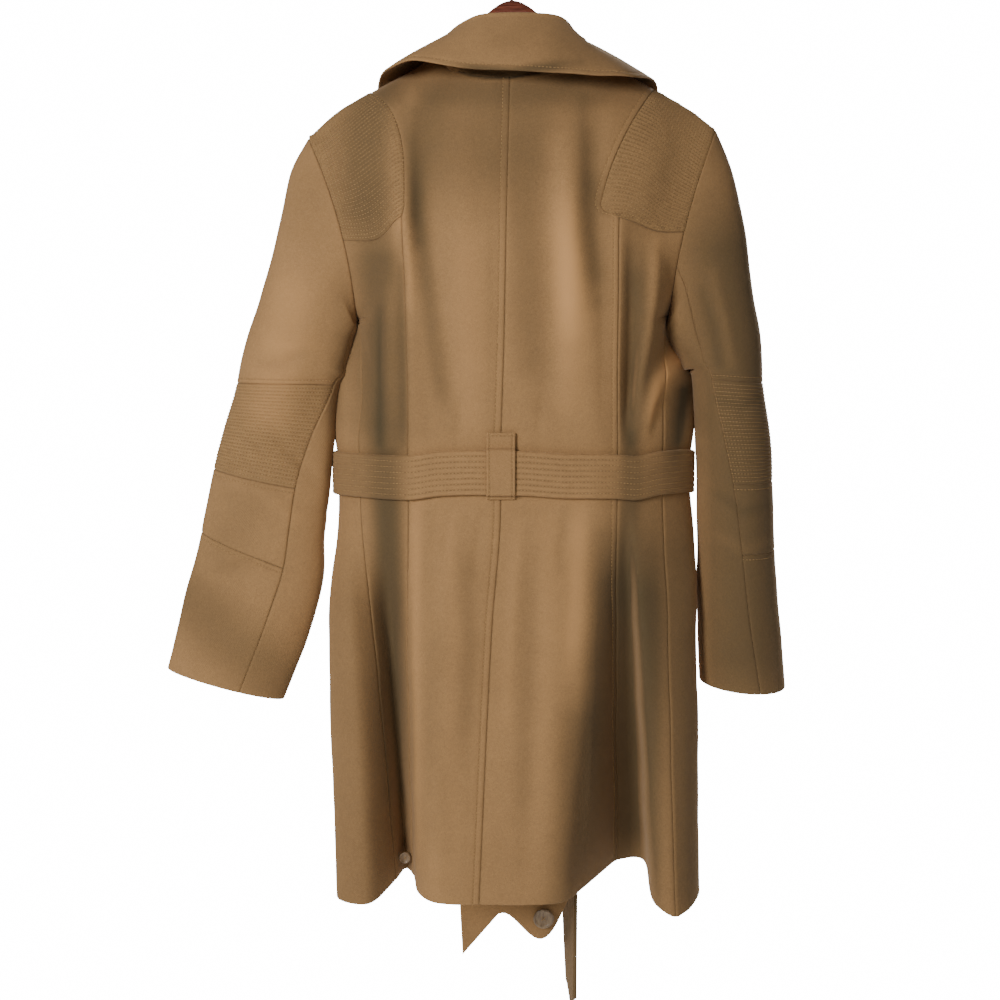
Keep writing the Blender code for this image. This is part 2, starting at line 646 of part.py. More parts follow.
def neck_stations(made, back_normals, front_normals):
    """Points down one front edge, round the back of the neck and down the other."""
    back, at = made["back"]
    found = {}
    for side, name in ((1, "left"), (-1, "right")):
        front = made[side][0][-1]
        normals = front_normals[side][-1]
        stations = []
        for j in range(TOP_ROW, BELT_ROW, -1):
            if j >= FOOT_ROW:
                place = 1 + (TOP_ROW - j) / YOKE_ROWS
            elif j >= UNDERARM:
                place = 2 + (FOOT_ROW - j) / ARM_ROWS
            else:
                place = 3 + (UNDERARM - j) / WAIST_ROWS
            stations.append((side * place, front[j], normals[j]))
        neck = []
        first, last = at["centre_back"], at[f"back_{name}"]
        count = abs(last - first)
        way = 1 if last > first else -1
        for k in range(count):
            column = first + way * k
            neck.append((side * k / count, back[column, TOP_ROW], back_normals[column, TOP_ROW]))
        found[side] = (neck, stations)
    return found


def collar_pieces(made, back_normals, front_normals, wool):
    stations = neck_stations(made, back_normals, front_normals)
    left, right = (neck_run[1] for neck_run in (stations[1], stations[-1]))
    left = [s for s in left if s[0] <= LAPEL_END[1]]
    neck = stations[-1][0][::-1] + stations[1][0][1:]
    run = right[::-1] + neck + left
    grid = np.array([collar_section(*station) for station in run])
    normals = normals_of(grid)
    if normals[len(right), -1, 1] < 0:
        normals = -normals
    for i, (_, _, seam_normal) in enumerate(run):
        normals[i, 0] = -seam_normal
    first = min(i for i, s in enumerate(run) if s[0] > -LAPEL_TOP) - 1
    last = max(i for i, s in enumerate(run) if s[0] < LAPEL_TOP) + 1
    pieces = (("lapel_right", 0, first), ("collar", first, last), ("lapel_left", last, len(run) - 1))
    for name, low, high in pieces:
        part = np.s_[low : high + 1]
        wall(name, grid[part], normals[part], wool)


# ---------------------------------------------------------------- belt


def belt_ring(made):
    """The belt's inner face seen from above: the cloth at the belt, moved out."""
    back, at = made["back"]
    left, left_at = made[1]
    right, right_at = made[-1]
    keep = [back[i, BELT_ROW] for i in range(0, len(back), 2)]
    keep += [right[right_at[n], BELT_ROW] for n in ("outer", "front_side", "front", "fold", "scoop", "corner")]
    keep += [right[right_at["front_edge"], BELT_ROW] + np.array([6 * MM, 0, 0])]
    keep += [left[left_at[n], BELT_ROW] for n in ("front_side", "outer", "bulge")]
    points = np.array(keep)
    points[:, 2] = 0.0
    away = np.roll(points, -1, axis=0) - np.roll(points, 1, axis=0)
    away = unit(np.stack([-away[:, 1], away[:, 0], 0 * away[:, 0]], axis=1))
    if np.dot(away[len(back) // 4], [0, 1, 0]) < 0:
        away = -away
    points = points + BELT_OFF * away
    closed = np.concatenate([points, points[:1]])[:, None, :]
    dense = through(closed, [BELT_STEPS] * len(points), points[-1][None], points[1][None])[:-1, 0]
    return dense


def belt_pieces(made, wool):
    ring = belt_ring(made)
    tangent = np.roll(ring, -1, axis=0) - np.roll(ring, 1, axis=0)
    out = unit(np.stack([-tangent[:, 1], tangent[:, 0], 0 * tangent[:, 0]], axis=1))
    if np.dot(out[0], ring[0] - ring.mean(axis=0)) < 0:
        out = -out
    middle = (BELT_TOP + BELT_FOOT) / 2
    loops = []
    for point, away in zip(ring, out):
        low = point + np.array([0, 0, middle - BELT_WIDTH / 2])
        high = point + np.array([0, 0, middle + BELT_WIDTH / 2])
        loops.append(np.array([low, low + BELT_THICK * away, high + BELT_THICK * away, high]))
    rings("belt_band", loops, wool, closed=True)
    belt_loop(ring, out, middle, wool)
    belt_knot(ring, middle, wool)
    tail("belt_tail_long", LONG_TAIL, wool)
    tail("belt_tail_short", SHORT_TAIL, wool)


def belt_loop(ring, out, middle, wool):
    """A strap over the belt at the centre back, its ends sewn to the coat."""
    nearest = min(range(len(ring)), key=lambda i: abs(ring[i, 0] - 0.012) + (ring[i, 1] < 0))
    place, away = ring[nearest], out[nearest]
    side_way = np.array([away[1], -away[0], 0.0])
    proud = BELT_THICK + 0.6 * MM
    low = middle - BELT_WIDTH / 2
    high = middle + BELT_WIDTH / 2
    path = (
        (low - LOOP_REACH["low"], 0.8 * MM - BELT_OFF),
        (low - 2 * MM, 1.4 * MM - BELT_OFF),
        (low - 0.6 * MM, proud),
        (high + 0.6 * MM, proud),
        (high + 2.5 * MM, 2.0 * MM - BELT_OFF),
        (high + LOOP_REACH["high"], 2.8 * MM - BELT_OFF),
    )
    loops = []
    for x in (-LOOP_WIDTH / 2, LOOP_WIDTH / 2):
        inner = [place + x * side_way + d * away + np.array([0, 0, z]) for z, d in path]
        outer = [p + CLOTH * away for p in inner[::-1]]
        loops.append(np.array(inner + outer))
    rings("belt_loop_back", loops, wool)


def belt_knot(ring, middle, wool):
    """The knot at the front, a rounded pad of wrapped cloth."""
    front = [p for p in ring if p[1] < 0]
    nearest = min(front, key=lambda p: abs(p[0] - KNOT["x"]))
    back_face = nearest[1] - BELT_THICK - 0.5 * MM
    loops = []
    for share, size in ((0.0, 0.86), (0.12, 1.0), (0.6, 1.0), (0.9, 0.82), (1.0, 0.6)):
        y = back_face - KNOT["depth"] * share
        loop = []
        for k in range(16):
            a = 2 * math.pi * k / 16
            c, s = math.cos(a), math.sin(a)
            x = math.copysign(abs(c) ** 0.6, c) * KNOT["width"] / 2 * size * (1 + 0.14 * s)
            z = math.copysign(abs(s) ** 0.6, s) * KNOT["height"] / 2 * size
            loop.append((KNOT["x"] + x, y, middle + z))
        loops.append(np.array(loop))
    rings("belt_knot", loops, wool)


def tail(name, table, wool):
    """A hanging end of the belt, turned about its own length and cut to a point."""
    rows = np.array(table, float)
    drop = rows[0, 2] - rows[:, 2]
    at = np.linspace(0, drop[-1], 2 * len(rows) - 1)
    found = smooth(drop, rows, at)
    loops = []
    for k, (x, y, z, turn) in enumerate(found):
        half = BELT_WIDTH / 2
        a = math.radians(turn)
        wide = np.array([math.cos(a), math.sin(a), 0.0])
        thick = np.array([-math.sin(a), math.cos(a), 0.0])
        lift = 18 * MM if k == len(found) - 1 else 0.0
        middle = np.array([x, y, z]) * MM
        corners = []
        for w, t in ((-1, -1), (0, -1), (1, -1), (1, 1), (0, 1), (-1, 1)):
            corner = middle + w * half * wide + t * BELT_THICK / 2 * thick
            corner[2] += lift * abs(w)
            corners.append(corner)
        loops.append(np.array(corners))
    rings(name, loops, wool)


# ---------------------------------------------------------------- buttons and hanger


def button(name, sizes, material):
    """A round button facing the back, with a raised rim round its dished middle, on a thread shank."""
    radius = sizes["across"] * MM / 2
    middle = np.array(sizes["place"]) * MM
    shank = sizes["shank"] * MM
    profile = [(SHANK_RADIUS, -shank), (SHANK_RADIUS, 0.0)]
    for r, h in ((0.86, 0.0), (1.0, 0.3), (1.0, 0.7), (0.92, 1.0), (0.74, 1.0), (0.62, 0.7), (0.1, 0.62)):
        profile.append((r * radius, h * BUTTON_THICK))
    loops = []
    for r, h in profile:
        turns = [2 * math.pi * k / BUTTON_SIDES for k in range(BUTTON_SIDES)]
        loops.append(np.array([middle + np.array([r * math.cos(a), h, r * math.sin(a)]) for a in turns]))
    return rings(name, loops, material)


def hanger_top(x):
    side = 1 if x >= 0 else -1
    line = ridge(side, x) - HANGER_DROP
    round_x = math.hypot(x, HANGER_NECK["half"]) - HANGER_NECK["half"]
    level = (RIDGE_TOP[1] + RIDGE_TOP[-1]) / 2 - RIDGE_SLOPE * round_x - HANGER_DROP
    near = max(1 - (abs(x) / (2.2 * HANGER_NECK["half"])) ** 2, 0.0)
    inside = min(abs(x) / NECK_HALF, 1.0)
    return level + (line - level) * inside + HANGER_NECK["rise"] * near * near


def hanger(wood, steel):
    """A bent bar of wood, deeper in the middle and broad at the ends, with a wire hook."""
    loops = []
    count = 25
    for k in range(count):
        x = HANGER_END * (2 * k / (count - 1) - 1)
        out = abs(x) / HANGER_END
        end = 1.0 if 0 < k < count - 1 else 0.7
        height = (HANGER_MIDDLE["height"] + (HANGER_TIP["height"] - HANGER_MIDDLE["height"]) * out) * end
        thick = (HANGER_MIDDLE["thick"] + (HANGER_TIP["thick"] - HANGER_MIDDLE["thick"]) * out ** 3) * end
        z = hanger_top(x) - (1 - end) * height / 2
        loop = []
        for j in range(12):
            a = 2 * math.pi * j / 12
            c, s = math.cos(a), math.sin(a)
            y = math.copysign(abs(c) ** 0.7, c) * thick / 2
            loop.append((x, y, z - height / 2 + math.copysign(abs(s) ** 0.7, s) * height / 2))
        loops.append(np.array(loop))
    rings("hanger_body", loops, wood)
    hook(steel)


def hook(steel):
    """Bent wire: a stem out of the wood, then an open ring whose inner top is the origin."""
    radius = HOOK_INSIDE + WIRE
    centre = -HOOK_INSIDE
    path = [(0.0, hanger_top(0) + SEAM_GAP), (0.0, hanger_top(0) + 8 * MM), (-1.5 * MM, centre - radius - 4 * MM)]
    path += [(-6 * MM, centre - radius + 1.5 * MM)]
    for k in range(15):
        a = math.radians(236 - 264 * k / 14)
        path.append((radius * math.cos(a), centre + radius * math.sin(a)))
    points = np.array([(x, 0.0, z) for x, z in path])
    ahead = unit(np.gradient(points, axis=0))
    loops = []
    for k, (point, way) in enumerate(zip(points, ahead)):
        if k == 0:
            way = np.array([0.0, 0.0, 1.0])
        side_way = np.array([0.0, 1.0, 0.0])
        up = np.cross(way, side_way)
        loops.append(np.array([point + WIRE * (math.cos(a) * side_way + math.sin(a) * up)
                               for a in (2 * math.pi * j / 10 for j in range(10))]))
    rings("hanger_hook", loops, steel)


# ---------------------------------------------------------------- the coat


def clear():
    for old in list(bpy.data.objects):
        bpy.data.objects.remove(old, do_unlink=True)


def material(name):
    colour, roughness, metallic = COLOURS[name]
    made = bpy.data.materials.new(name)
    made.use_nodes = True
    shader = made.node_tree.nodes["Principled BSDF"]
    shader.inputs["Base Color"].default_value = (*colour, 1.0)
    shader.inputs["Roughness"].default_value = roughness
    shader.inputs["Metallic"].default_value = metallic
    return made


def main():
    clear()
    wool, horn, wood, steel = (material(n) for n in ("wool", "button", "wood", "steel"))
    made, back_normals, front_normals = body_pieces(wool)
    sleeve(1, "left", wool)
    sleeve(-1, "right", wool)
    collar_pieces(made, back_normals, front_normals, wool)
    belt_pieces(made, wool)
    for name, sizes in BUTTONS.items():
        button(name, sizes, horn)
    hanger(wood, steel)


main()
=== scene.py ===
# %% [markdown]
# # A wool wrap coat on a hanger
# This notebook dresses a finished construction model. The construction says where every cut piece,
# button and bar is; the cells below give each one its real surface: felted wool with a soft nap,
# pressed seams, rows of stitching, folds, horn buttons and a lacquered wooden hanger.
# Each code cell makes one thing and prints what it made.

import math

import bpy
import numpy as np
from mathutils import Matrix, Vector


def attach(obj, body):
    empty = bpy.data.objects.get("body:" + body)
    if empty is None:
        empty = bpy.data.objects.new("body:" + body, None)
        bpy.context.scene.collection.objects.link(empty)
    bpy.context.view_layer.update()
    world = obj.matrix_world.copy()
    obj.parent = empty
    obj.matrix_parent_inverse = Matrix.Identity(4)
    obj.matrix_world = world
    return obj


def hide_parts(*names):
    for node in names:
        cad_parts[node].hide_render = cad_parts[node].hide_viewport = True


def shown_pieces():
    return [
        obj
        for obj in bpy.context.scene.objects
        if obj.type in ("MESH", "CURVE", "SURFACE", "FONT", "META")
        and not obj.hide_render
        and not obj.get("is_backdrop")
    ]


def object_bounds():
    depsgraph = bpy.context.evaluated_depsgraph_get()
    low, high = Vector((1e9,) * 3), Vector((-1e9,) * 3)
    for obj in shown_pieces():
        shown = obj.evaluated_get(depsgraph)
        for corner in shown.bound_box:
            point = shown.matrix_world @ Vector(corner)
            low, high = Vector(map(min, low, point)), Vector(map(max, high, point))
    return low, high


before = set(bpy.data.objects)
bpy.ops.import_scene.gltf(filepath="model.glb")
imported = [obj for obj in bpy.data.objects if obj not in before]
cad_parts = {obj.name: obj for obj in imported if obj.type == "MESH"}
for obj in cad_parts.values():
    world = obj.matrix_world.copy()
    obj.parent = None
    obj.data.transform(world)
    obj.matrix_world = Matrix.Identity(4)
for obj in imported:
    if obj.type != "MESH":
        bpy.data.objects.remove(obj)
MM = 0.001
cad_box = [list(corner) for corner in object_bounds()]
size = [round(high - low, 3) for low, high in zip(*cad_box)]
print("construction box, metres:", size)

# %% [markdown]
# ## Nodes in one call
# Shaders and Geometry Nodes are both trees of nodes with links between them. A few small functions make
# a node, set it up and link it in one line, so that the recipes further down read like sums.


# %% Node helpers
def plug(tree, node, links):
    """Gives a node's inputs their links or their fixed values."""
    for key, value in links.items():
        if isinstance(value, bpy.types.NodeSocket):
            tree.links.new(value, node.inputs[key])
        else:
            node.inputs[key].default_value = value
    return node


def add(tree, kind, links=None, **settings):
    """A node with its settings and links in one call; links are {input: socket or value}."""
    node = tree.nodes.new(kind)
    for key, value in settings.items():
        setattr(node, key, value)
    return plug(tree, node, links or {})


def noise(tree, vector, scale, detail=2.0, rough=0.5):
    links = {"Vector": vector, "Scale": scale, "Detail": detail, "Roughness": rough}
    return add(tree, "ShaderNodeTexNoise", links).outputs["Fac"]


def mapped(tree, value, to_low, to_high, low=0.3, high=0.7):
    """A value moved to a new range; noise mostly stays between 0.3 and 0.7."""
    return add(tree, "ShaderNodeMapRange", {0: value, 1: low, 2: high, 3: to_low, 4: to_high}).outputs[0]


def times(tree, a, b, operation="MULTIPLY"):
    return add(tree, "ShaderNodeMath", {0: a, 1: b}, operation=operation).outputs[0]


def plus(tree, a, b):
    return times(tree, a, b, "ADD")


def blended(tree, factor, a, b, blend="MIX"):
    """Two colours in one; a mix node keeps its colours in inputs 6 and 7."""
    links = {0: factor, 6: a, 7: b}
    return add(tree, "ShaderNodeMix", links, data_type="RGBA", blend_type=blend).outputs[2]


def ramp(tree, value, *stops):
    """A colour that follows a value between two stops of (place, red, green, blue)."""
    node = add(tree, "ShaderNodeValToRGB", {"Fac": value})
    for element, (place, *colour) in zip(node.color_ramp.elements, stops):
        element.position, element.color = place, (*colour, 1)
    return node.outputs[0]


def principled(name):
    """A new material with its tree and its main shader."""
    material = bpy.data.materials.new(name)
    material.use_nodes = True
    return material, material.node_tree, material.node_tree.nodes["Principled BSDF"]


def own_place(tree):
    """Object coordinates, so that a pattern stays with its piece."""
    return add(tree, "ShaderNodeTexCoord").outputs["Object"]


def seen_and_lit(tree, lit, seen, surface):
    """Shows the camera one shader while the other one lights the coat."""
    camera_ray = add(tree, "ShaderNodeLightPath").outputs["Is Camera Ray"]
    pick = add(tree, "ShaderNodeMixShader", {0: camera_ray, 1: lit.outputs[0], 2: seen.outputs[0]})
    tree.links.new(pick.outputs[0], surface)


# %% [markdown]
# ## Camera and studio
# The coat hangs with its back to the camera, so the camera stands on the +Y side, a little above the
# coat's middle, and looks slightly down. A studio would use a white sweep behind the coat and a large
# soft lamp high on one side. Here the sweep is a plain pale floor that meets a white surround.

# %% Camera
LOOKS_DOWN = 7.54  # degrees
scene = bpy.context.scene
camera = bpy.data.objects.new("camera", bpy.data.cameras.new("camera"))
scene.collection.objects.link(camera)
camera.location = (0.013, 1.5, -0.424)
camera.rotation_euler = (math.radians(90 - LOOKS_DOWN), 0.0, math.pi)
camera.data.sensor_width = 36.0
camera.data.lens = 46.22
scene.camera = camera
print("camera is", camera.location.y, "m behind the coat")

# %% Soft studio light
MIDDLE = (0.02, 0.0, -0.6)
LAMPS = (
    # name,        place,             width, watts
    ("key",        (1.2, 1.95, 0.1),  0.8,   51.5),
    ("fill",       (-0.9, 2.2, 0.3),  1.6,   5),
    ("front_key",  (-1.2, -2.0, 0.3), 0.9,   58),
    ("front_fill", (1.3, -1.9, 0.2),  1.6,   9),
)
for name, place, width, watts in LAMPS:
    data = bpy.data.lights.new(name, "AREA")
    data.shape, data.size, data.energy = "DISK", width, watts
    lamp = bpy.data.objects.new(name, data)
    scene.collection.objects.link(lamp)
    lamp.location = place
    way = np.array(MIDDLE) - np.array(place)
    lamp.rotation_euler = (math.atan2(math.hypot(way[0], way[1]), -way[2]), 0.0, math.atan2(-way[0], way[1]))
print("lamps:", len(LAMPS), "aimed at", MIDDLE)

# %% White surround
WHITE_GLOW, ROOM_LIGHT = 16.0, 0.16
world = bpy.data.worlds.new("studio")
scene.world = world
world.use_nodes = True
tree = world.node_tree
tree.nodes.clear()
seen = add(tree, "ShaderNodeBackground", {"Color": (1, 1, 1, 1), "Strength": WHITE_GLOW})
lit = add(tree, "ShaderNodeBackground", {"Color": (1.0, 0.99, 0.97, 1), "Strength": ROOM_LIGHT})
seen_and_lit(tree, lit, seen, add(tree, "ShaderNodeOutputWorld").inputs["Surface"])
print("the room lights the coat at", ROOM_LIGHT)

# %% Pale floor
FLOOR_DROP, FLOOR_HALF = 0.3, 9
floor_mesh = bpy.data.meshes.new("studio_floor")
z = cad_box[0][2] - FLOOR_DROP
corners = [(x * FLOOR_HALF, y * FLOOR_HALF, z) for x, y in ((-1, -1), (1, -1), (1, 1), (-1, 1))]
floor_mesh.from_pydata(corners, [], [(0, 1, 2, 3)])
floor = bpy.data.objects.new("studio_floor", floor_mesh)
scene.collection.objects.link(floor)
pale, tree, shader = principled("pale_floor")
plug(tree, shader, {"Base Color": (0.9, 0.9, 0.89, 1), "Roughness": 1.0, "Specular IOR Level": 0.0})
glow = add(tree, "ShaderNodeEmission", {"Strength": WHITE_GLOW})
seen_and_lit(tree, shader, glow, tree.nodes["Material Output"].inputs["Surface"])
floor_mesh.materials.append(pale)
floor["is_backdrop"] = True
print("floor lies", FLOOR_DROP, "m under the longest belt end")

# %% [markdown]
# ## Curves that never overshoot
# A coat's outline is a smooth curve through a few measured places. A plain cubic would swing past the
# measurements and make bumps that nobody cut. `smooth` keeps every stretch between its two values, and
# `through` draws rounded curves across the cloth from one measured line to the next.


# %% Curve helpers
def unit(vectors):
    return vectors / np.maximum(np.linalg.norm(vectors, axis=-1, keepdims=True), 1e-12)


def smooth(knots, values, at):
    """A curve through values that never swings past them; values may have several columns."""
    knots = np.asarray(knots, float)
    values = np.asarray(values, float).reshape(len(knots), -1)
    step = np.diff(knots)[:, None]
    slope = np.diff(values, axis=0) / step
    tangent = np.zeros_like(values)
    tangent[0], tangent[-1] = slope[0], slope[-1]
    both = slope[:-1] * slope[1:]
    safe = np.where(both > 0, slope[:-1] + slope[1:], 1.0)
    tangent[1:-1] = np.where(both > 0, 2 * both / safe, 0.0)
    at = np.clip(np.asarray(at, float), knots[0], knots[-1])
    span = np.clip(np.searchsorted(knots, at, side="right") - 1, 0, len(knots) - 2)
    width = step[span]
    t = (at[:, None] - knots[span][:, None]) / width
    start = (1 + 2 * t) * (1 - t) ** 2 * values[span] + t * (1 - t) ** 2 * width * tangent[span]
    end = t * t * (3 - 2 * t) * values[span + 1] - t * t * (1 - t) * width * tangent[span + 1]
    return start + end


def through(points, steps, before=None, after=None):
    """Rounded curves through points[line, row, xyz], with so many steps from one line to the next."""
    before = 2 * points[0] - points[1] if before is None else before
    after = 2 * points[-1] - points[-2] if after is None else after
    held = np.concatenate([before[None], points, after[None]])
    gaps = np.sqrt(np.maximum(np.linalg.norm(np.diff(held, axis=0), axis=-1, keepdims=True), 1e-6))
    found = []
    for i in range(len(points) - 1):
        p0, p1, p2, p3 = held[i : i + 4]
        d0, d1, d2 = gaps[i : i + 3]
        leave = (p1 - p0) / d0 - (p2 - p0) / (d0 + d1) + (p2 - p1) / d1
        arrive = (p2 - p1) / d1 - (p3 - p1) / (d1 + d2) + (p3 - p2) / d2
        for k in range(steps):
            t = k / steps
            hermite = (1 + 2 * t) * (1 - t) ** 2 * p1 + t * t * (3 - 2 * t) * p2
            found.append(hermite + d1 * (t * (1 - t) ** 2 * leave - t * t * (1 - t) * arrive))
    found.append(points[-1])
    return np.array(found)


def more_rows(grid, steps):
    """The same rounded surface with so many rows in place of each one along axis 1."""
    return through(grid.transpose(1, 0, 2), steps).transpose(1, 0, 2)


def normals_of(grid):
    return unit(np.cross(np.gradient(grid, axis=0), np.gradient(grid, axis=1)))


def facing(normals, i, j, sign=1):
    """Normals turned over, if need be, so that the one at i, j points the right way along Y."""
    return -normals if normals[i, j, 1] * sign < 0 else normals


def run_length(points, axis):
    """Distance along rows of points from the start of an axis."""
    steps = np.linalg.norm(np.diff(points, axis=axis), axis=-1).cumsum(axis=axis)
    return np.concatenate([np.zeros_like(points.take([0], axis)[..., 0]), steps], axis=axis)


def place_between(arc, place):
    """The last point before a place along an arc, and the share of the way to the next point."""
    i = min(max(int(np.searchsorted(arc, place, side="right")) - 1, 0), len(arc) - 2)
    return i, (place - arc[i]) / max(arc[i + 1] - arc[i], 1e-9)


def powered(value, power):
    """A cosine or sine with its corners filled out, which rounds a rectangle."""
    return math.copysign(abs(value) ** power, value)


# %% [markdown]
# ## The cut
# A tailor keeps a coat as lengths and widths at named levels. The same is done here: one table for the
# wearer's left and one for the right gives each line down the cloth, from the centre back round to the
# front edge, at the patch foot, chest, ribs, belt, hip and hem. The two tables differ, because a hung
# wrap coat is never the same on both sides. All tables are in millimetres.

# %% Levels and shoulders
CLOTH = 2.5 * MM
SEAM_GAP = 0.3 * MM
PATCH_FOOT, CHEST, RIBS = -302 * MM, -415 * MM, -490 * MM
BELT_TOP, BELT_FOOT, HIP = -560 * MM, -617 * MM, -760 * MM
RIDGE_SLOPE = 0.52
RIDGE_TOP = {1: -76 * MM, -1: -71 * MM}  # 1 is the wearer's left, -1 the right
RIDGE_END = {"from": 0.19, "over": 0.038, "falls": 0.0125}
NECK_HALF, NECK_DROP = 80 * MM, 36 * MM
NECK_EASE = 45 * MM  # over this distance from the centre back the two sides' necks meet
RIDGE_LIFT = 0.2  # keeps the normals on the shoulder line pointing up
TOUCH = 1e-6
HEM_ROWS, HIP_ROWS, BELT_ROWS, WAIST_ROWS, ARM_ROWS, YOKE_ROWS = 66, 30, 14, 34, 28, 36
STEPS = 10  # columns from one line down the cloth to the next
BELT_ROW = HEM_ROWS + HIP_ROWS
UNDERARM = BELT_ROW + BELT_ROWS + WAIST_ROWS
FOOT_ROW = UNDERARM + ARM_ROWS
TOP_ROW = FOOT_ROW + YOKE_ROWS
print("rows of cloth from hem to shoulder:", TOP_ROW)

# %% Lines down the cloth
LEFT = (
    # line,          top, patch foot,  chest,      ribs,       belt,       hip,        hem
    ("centre_back",    2, (6, 84),     (8, 86),    (10, 83),   (12, 80),   (22, 88),   (37, 100, -1078)),
    ("neck",          55, (38, 84),    (38, 86),   (39, 83),   (40, 80),   (52, 89),   (66, 101, -1078)),
    ("back",          80, (76, 84),    (76, 85),   (77, 81),   (78, 78),   (86, 88),   (92, 96, -1077)),
    ("back_edge",    115, (102, 82),   (102, 83),  (102, 80),  (102, 76),  (109, 82),  (109, 74, -1076)),
    ("princess",     159, (119, 80),   (117, 80),  (116, 76),  (116, 73),  (119, 68),  (117, 32, -1074)),
    ("valley",       195, (148, 64),   (145, 63),  (145, 58),  (146, 60),  (141, 42),  (127, 10, -1074)),
    ("side",         227, (189, 42),   (173, 22),  (167, 34),  (173, 44),  (158, 63),  (137, 44, -1074)),
    ("bulge",        211, (181, -33),  (176, -3),  (190, 12),  (193, 24),  (182, 78),  (165, 95, -1080)),
    ("outer",        195, (172, -38),  (174, -16), (205, -20), (202, 0),   (211, 48),  (202, 80, -1080)),
    ("front_side",   159, (148, -42),  (156, -35), (184, -42), (180, -31), (194, -8),  (188, 18, -1078)),
    ("front",        115, (100, -44),  (100, -42), (106, -43), (110, -41), (115, -38), (118, -38, -1072)),
    ("front_edge",    80, (34, -40),   (0, -38),   (-24, -39), (-48, -40), (-50, -40), (-52, -38, -1070)),
)
RIGHT = (
    ("centre_back",    2, (6, 84),     (8, 86),    (10, 83),   (12, 80),   (22, 88),   (37, 100, -1078)),
    ("neck",         -55, (-34, 84),   (-34, 86),  (-32, 83),  (-30, 80),  (-20, 90),  (-16, 101, -1078)),
    ("back",         -80, (-66, 84),   (-68, 86),  (-68, 82),  (-68, 79),  (-60, 91),  (-60, 94, -1078)),
    ("back_edge",   -118, (-94, 82),   (-98, 84),  (-98, 80),  (-98, 77),  (-96, 84),  (-86, 56, -1078)),
    ("princess",    -161, (-117, 80),  (-117, 81), (-118, 76), (-119, 73), (-121, 55), (-134, -24, -1078)),
    ("valley",      -178, (-134, 72),  (-131, 68), (-130, 62), (-129, 70), (-138, 46), (-162, -30, -1078)),
    ("ridge",       -200, (-162, 58),  (-152, 70), (-142, 72), (-140, 67), (-147, 84), (-167, 88, -1084)),
    ("side",        -231, (-188, 42),  (-176, 22), (-170, 46), (-172, 50), (-178, 74), (-189, 102, -1092)),
    ("outer",       -215, (-180, -34), (-178, -14), (-213, -22), (-208, 2), (-215, 36), (-223, 56, -1082)),
    ("front_side",  -195, (-164, -42), (-160, -35), (-184, -43), (-188, -33), (-202, -18), (-206, -8, -1080)),
    ("front",       -159, (-130, -48), (-128, -46), (-134, -47), (-140, -46), (-146, -48), (-140, -52, -1086)),
    ("fold",        -118, (-84, -50),  (-78, -50), (-79, -51), (-80, -52), (-82, -58), (-84, -62, -1130)),
    ("scoop",       -100, (-60, -50),  (-48, -51), (-41, -53), (-34, -53), (-38, -50), (-40, -44, -1190)),
    ("corner",       -90, (-46, -48),  (-24, -53), (-4, -54),  (16, -53),  (14, -56),  (10, -62, -1164)),
    ("front_edge",   -80, (-34, -46),  (2, -55),   (34, -55),  (66, -52),  (80, -58),  (61, -50, -1214)),
)
PATCH = {1: {"corner": 3 * MM, "lean": 4.5}, -1: {"corner": 21 * MM, "lean": 1.7}}
CORNER_RISE, CORNER_POWER, CORNER_BESIDE = 14, 0.6, 0.45  # how the patch's lower corner rounds off
ARM_FOOT = {1: -325 * MM, -1: -316 * MM}
print("lines down the cloth:", len(LEFT) + len(RIGHT) - 1)

# %% Sections of the sleeves
SLEEVES = {
    1: (
        # section,    x,   y,   z,  width, depth, turn, bow, back_seam, front_seam
        ("armhole",  203,  5, -310, 105,   40,    75.5, 12,  159.5,     241.5),
        ("head",     216,  5, -332,  94,   39,    69,   8,   160,       242),
        ("cap",      227,  6, -372,  76,   37,    60,   3,   162,       244),
        ("arm",      245,  8, -434,  58,   35,    35,   0,   165,       247),
        ("seam_1",   261, 10, -485,  56,   34,    1,    0,   160,       250),
        ("elbow",    273, 10, -541,  61,   33,    4,    0,   136,       250),
        ("seam_2",   282,  8, -598,  67,   31,    12,   0,   121,       250),
        ("bend",     288,  6, -643,  72,   29,    18,   0,   117,       250),
        ("seam_3",   294,  5, -688,  77,   28,    22,   0,   114,       250),
        ("forearm",  313,  5, -758,  77,   26,    17.5, 0,   110,       250),
        ("cuff",     341,  5, -843,  72,   25,    15.4, 0,   107,       250),
    ),
    -1: (
        ("armhole", -205,  5, -304, 108,   40,    76.5, 10,  118.5,     241.5),
        ("head",    -216,  5, -328,  96,   41,    71,   7,   121,       242),
        ("cap",     -228,  6, -366,  76,   43,    62,   3,   126,       244),
        ("arm",     -242,  8, -428,  50,   48,    42,   0,   132,       247),
        ("seam_1",  -253, 10, -481,  36.5, 53,    -4,   0,   134,       250),
        ("elbow",   -261, 10, -545,  39,   56,    -1,   0,   122,       250),
        ("seam_2",  -264,  8, -597,  40,   57,    0,    0,   110,       250),
        ("bend",    -266,  6, -640,  41,   57,    0,    0,   102,       250),
        ("seam_3",  -268,  4, -678,  42,   57,    0,    0,   97,        250),
        ("forearm", -272,  2, -760,  46,   57,    -1,   0,   87,        250),
        ("cuff",    -278,  2, -842,  50,   57,    -3,   0,   77,        250),
    ),
}
SECTION_ROWS = (7, 9, 14, 12, 13, 13, 11, 11, 17, 20)
print("sections down each sleeve:", len(SLEEVES[1]))


# %% Shoulder line and armholes
def ridge(side, x):
    """The shoulder line, which falls faster towards the sleeve."""
    out = abs(x)
    end = min(max((out - RIDGE_END["from"]) / RIDGE_END["over"], 0.0), 1.0)
    return RIDGE_TOP[side] - RIDGE_SLOPE * out - RIDGE_END["falls"] * end * end


